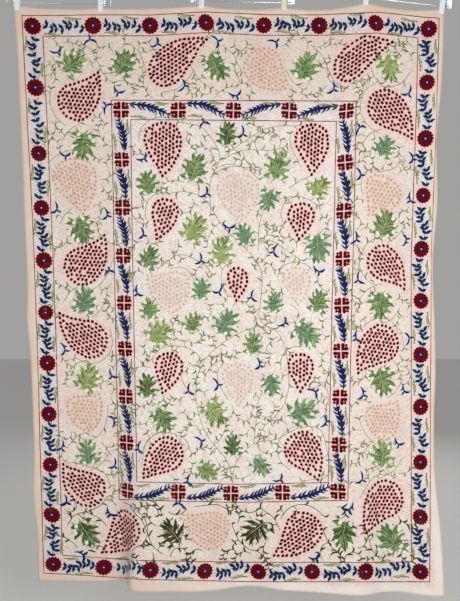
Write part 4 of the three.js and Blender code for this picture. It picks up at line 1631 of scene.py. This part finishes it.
class BEDSPREAD_OT_lines(bpy.types.Operator):
    """Stitch the guard lines and the hem"""

    bl_idname = "bedspread.lines"
    bl_label = "Guard lines and hem stitches"

    def execute(self, context):
        threads = context.scene.bedspread_threads
        lines = Stitchwork("guard_lines", 61)
        for sides, apart in ((OUTER_SIDES, OUTER_LINE_OFFSET), (FRAME_SIDES, FRAME_LINE_OFFSET)):
            for side in sides:
                for inward in (-apart, apart):
                    stops = np.arange(side.stops[0] + inward, side.stops[-1] - inward, LINE_STEP)
                    offset = inward if side.name in ("top", "left") else -inward
                    path = along_side(side, np.append(stops, side.stops[-1] - inward), offset)
                    path[1:-1] += np.cumsum(lines.random.normal(0, 0.5, (len(path) - 2, 2)), axis=0) * 0.3
                    half = lines.random.uniform(*LINE_HALVES, len(path))
                    lines.blade(path, half, threads.line, height=0.6, over=0.15)
        lines.piece(thread_finish("line_thread", threads, COTTON_THREAD))
        hem = Stitchwork("hem_stitches", 62)
        near = HEM_STITCH_INSET
        right = CLOTH_WIDTH - near
        foot = CLOTH_LENGTH - near
        corners = [(near, near), (right, near), (right, foot), (near, foot), (near, near)]
        for first, second in zip(corners, corners[1:]):
            run = np.subtract(second, first)
            along = run / np.linalg.norm(run)
            for stop in np.arange(HEM_STITCH_ROOM, np.linalg.norm(run) - HEM_STITCH_ROOM, HEM_STITCH_PITCH):
                start = first + along * (stop + hem.random.uniform(-0.8, 0.8))
                path = start + np.outer(np.linspace(0, HEM_STITCH, 3), along) + hem.random.normal(0, 0.25, 2)
                hem.blade(path, np.array(HEM_STITCH_HALVES), threads.hem, height=0.35)
        hem.piece(thread_finish("hem_thread", threads, COTTON_THREAD))
        return {"FINISHED"}


class BEDSPREAD_OT_cloth(bpy.types.Operator):
    """Hang the cotton sheet in its folds"""

    bl_idname = "bedspread.cloth"
    bl_label = "Cotton sheet"

    def execute(self, context):
        cloth = context.scene.bedspread_cloth
        per_row = COLUMNS + 1
        first = np.add.outer(np.arange(ROWS) * per_row, np.arange(COLUMNS)).ravel()
        faces = np.stack([first, first + per_row, first + per_row + 1, first + 1], axis=1)
        mesh = bpy.data.meshes.new("bedspread_cloth")
        mesh.from_pydata(MM * DRAPE.points.reshape(-1, 3), [], faces.tolist())
        mesh.shade_smooth()
        x, y = np.meshgrid(np.linspace(0, 1, per_row), np.linspace(1, 0, ROWS + 1))
        corners = np.empty(len(mesh.loops), int)
        mesh.loops.foreach_get("vertex_index", corners)
        flat = mesh.uv_layers.new(name="flat")
        flat.data.foreach_set("uv", np.stack([x.ravel(), y.ravel()], axis=1)[corners].ravel())
        ground = mesh.color_attributes.new("ground", "FLOAT_COLOR", "POINT")
        ground.data.foreach_set("color", GROUND.paint(cloth.cotton, cloth.margin).ravel())
        piece = new_piece("bedspread_cloth", mesh, cotton_finish(cloth))
        hem = piece.vertex_groups.new(name="hem")
        grid = np.arange((ROWS + 1) * per_row).reshape(ROWS + 1, per_row)
        rim = round(HEM_WIDTH / (CLOTH_WIDTH / COLUMNS))
        inner = grid[rim:-rim, rim:-rim]
        hem.add(np.setdiff1d(grid, inner).tolist(), 1, "REPLACE")
        wall = piece.modifiers.new("thickness", "SOLIDIFY")
        wall.thickness = cloth.hem_thickness
        wall.offset = 0
        wall.vertex_group = "hem"
        wall.thickness_vertex_group = cloth.thickness / cloth.hem_thickness
        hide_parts("bedspread")
        return {"FINISHED"}


class BEDSPREAD_OT_hangers(bpy.types.Operator):
    """Finish the hanger bodies, bars and hooks"""

    bl_idname = "bedspread.hangers"
    bl_label = "Hangers"

    def execute(self, context):
        look = context.scene.bedspread_hangers
        clear = clear_plastic_finish(look.clear_plastic)
        steel = steel_finish(look.bright_steel)
        broad = look.edge_rounding
        fine = broad / 2
        for side in (hanger.side for hanger in HANGERS):
            rounded_copy(f"hanger_body_{side}", f"moulded_body_{side}", broad, clear)
            rounded_copy(f"hanger_bar_{side}", f"steel_bar_{side}", fine, steel)
            wire = rounded_copy(f"hanger_hook_{side}", f"steel_hook_{side}", fine, steel)
            smooth = wire.modifiers.new("round", "SUBSURF")
            smooth.levels = 1
            smooth.render_levels = 1
        return {"FINISHED"}


class BEDSPREAD_OT_clips(bpy.types.Operator):
    """Finish the jaws of the clips"""

    bl_idname = "bedspread.clips"
    bl_label = "Clips"

    def execute(self, context):
        look = context.scene.bedspread_hangers
        white = white_plastic_finish("clip_moulding", look.clip_white)
        yellowed = white_plastic_finish("yellowed_moulding", look.clip_yellowed)
        for jaw in JAWS:
            material = yellowed if jaw in YELLOWED_JAWS else white
            rounded_copy(f"clip_{jaw}", f"jaw_{jaw}", look.edge_rounding / 2, material)
        return {"FINISHED"}


class BEDSPREAD_OT_stage(bpy.types.Operator):
    """Set the floor, the light and the camera"""

    bl_idname = "bedspread.stage"
    bl_label = "Stage"

    def execute(self, context):
        look = context.scene.bedspread_stage
        shape = bmesh.new()
        bmesh.ops.create_grid(shape, x_segments=8, y_segments=8, size=FLOOR_SIZE)
        bmesh.ops.translate(shape, verts=shape.verts, vec=(0, FLOOR_SETBACK, CAD_BOX[0][2] - look.floor_drop))
        mesh = bpy.data.meshes.new("floor")
        shape.to_mesh(mesh)
        shape.free()
        mesh.materials.append(floor_finish(look.floor_colour))
        floor = bpy.data.objects.new("floor", mesh)
        context.scene.collection.objects.link(floor)
        powers = (look.key_power, look.fill_power, look.back_power)
        for lamp, power in zip(LAMPS, powers):
            self.soft_light(context, lamp, power)
        world = bpy.data.worlds.new("pale_room")
        world.use_nodes = True
        sky = world.node_tree.nodes["Background"]
        sky.inputs["Color"].default_value = SKY_COLOUR
        sky.inputs["Strength"].default_value = look.sky
        context.scene.world = world
        context.scene.view_settings.view_transform = "Standard"
        camera = bpy.data.cameras.new("camera")
        camera.lens = CAMERA_LENS
        camera.sensor_fit = "AUTO"
        camera.sensor_width = CAMERA_SENSOR
        stand = bpy.data.objects.new("camera", camera)
        stand.location = Vector(EYE) * MM
        stand.rotation_euler = (math.radians(90 - CAMERA_PITCH), 0, 0)
        context.scene.collection.objects.link(stand)
        context.scene.camera = stand
        return {"FINISHED"}

    def soft_light(self, context, lamp, power):
        """A square light that faces the middle of the cloth."""
        glow = bpy.data.lights.new(lamp.name, "AREA")
        glow.energy = power
        glow.shape = "SQUARE"
        glow.size = lamp.size
        light = bpy.data.objects.new(lamp.name, glow)
        light.location = lamp.place
        facing = Vector(CLOTH_MIDDLE) - Vector(lamp.place)
        light.rotation_euler = facing.to_track_quat("-Z", "Y").to_euler()
        context.scene.collection.objects.link(light)


class BEDSPREAD_PT_pieces(bpy.types.Panel):
    """The pieces of the bedspread, in the order in which they are made"""

    bl_idname = "BEDSPREAD_PT_pieces"
    bl_label = "Bedspread"
    bl_space_type = "VIEW_3D"
    bl_region_type = "UI"
    bl_category = "Bedspread"

    def draw(self, context):
        for operator in OPERATORS:
            self.layout.operator(operator.bl_idname)
        for name in LOOKS:
            look = getattr(context.scene, name)
            box = self.layout.box()
            for key in look.__annotations__:
                box.prop(look, key)


OPERATORS = [
    BEDSPREAD_OT_bunches, BEDSPREAD_OT_leaves, BEDSPREAD_OT_outer_border, BEDSPREAD_OT_inner_frame,
    BEDSPREAD_OT_vines, BEDSPREAD_OT_lines, BEDSPREAD_OT_cloth, BEDSPREAD_OT_hangers, BEDSPREAD_OT_clips,
    BEDSPREAD_OT_stage,
]
LOOKS = {
    "bedspread_cloth": BedspreadCloth,
    "bedspread_threads": BedspreadThreads,
    "bedspread_hangers": BedspreadHangers,
    "bedspread_stage": BedspreadStage,
}
CLASSES = [*LOOKS.values(), *OPERATORS, BEDSPREAD_PT_pieces]


def register():
    for shown in CLASSES:
        bpy.utils.register_class(shown)
    for name, group in LOOKS.items():
        setattr(bpy.types.Scene, name, PointerProperty(type=group))


def unregister():
    for name in LOOKS:
        delattr(bpy.types.Scene, name)
    for shown in reversed(CLASSES):
        bpy.utils.unregister_class(shown)


def main():
    register()
    bpy.ops.bedspread.bunches()
    bpy.ops.bedspread.leaves()
    bpy.ops.bedspread.outer_border()
    bpy.ops.bedspread.inner_frame()
    bpy.ops.bedspread.vines()
    bpy.ops.bedspread.lines()
    bpy.ops.bedspread.cloth()
    bpy.ops.bedspread.hangers()
    bpy.ops.bedspread.clips()
    bpy.ops.bedspread.stage()
    bpy.context.view_layer.update()


if __name__ == "__main__":
    main()
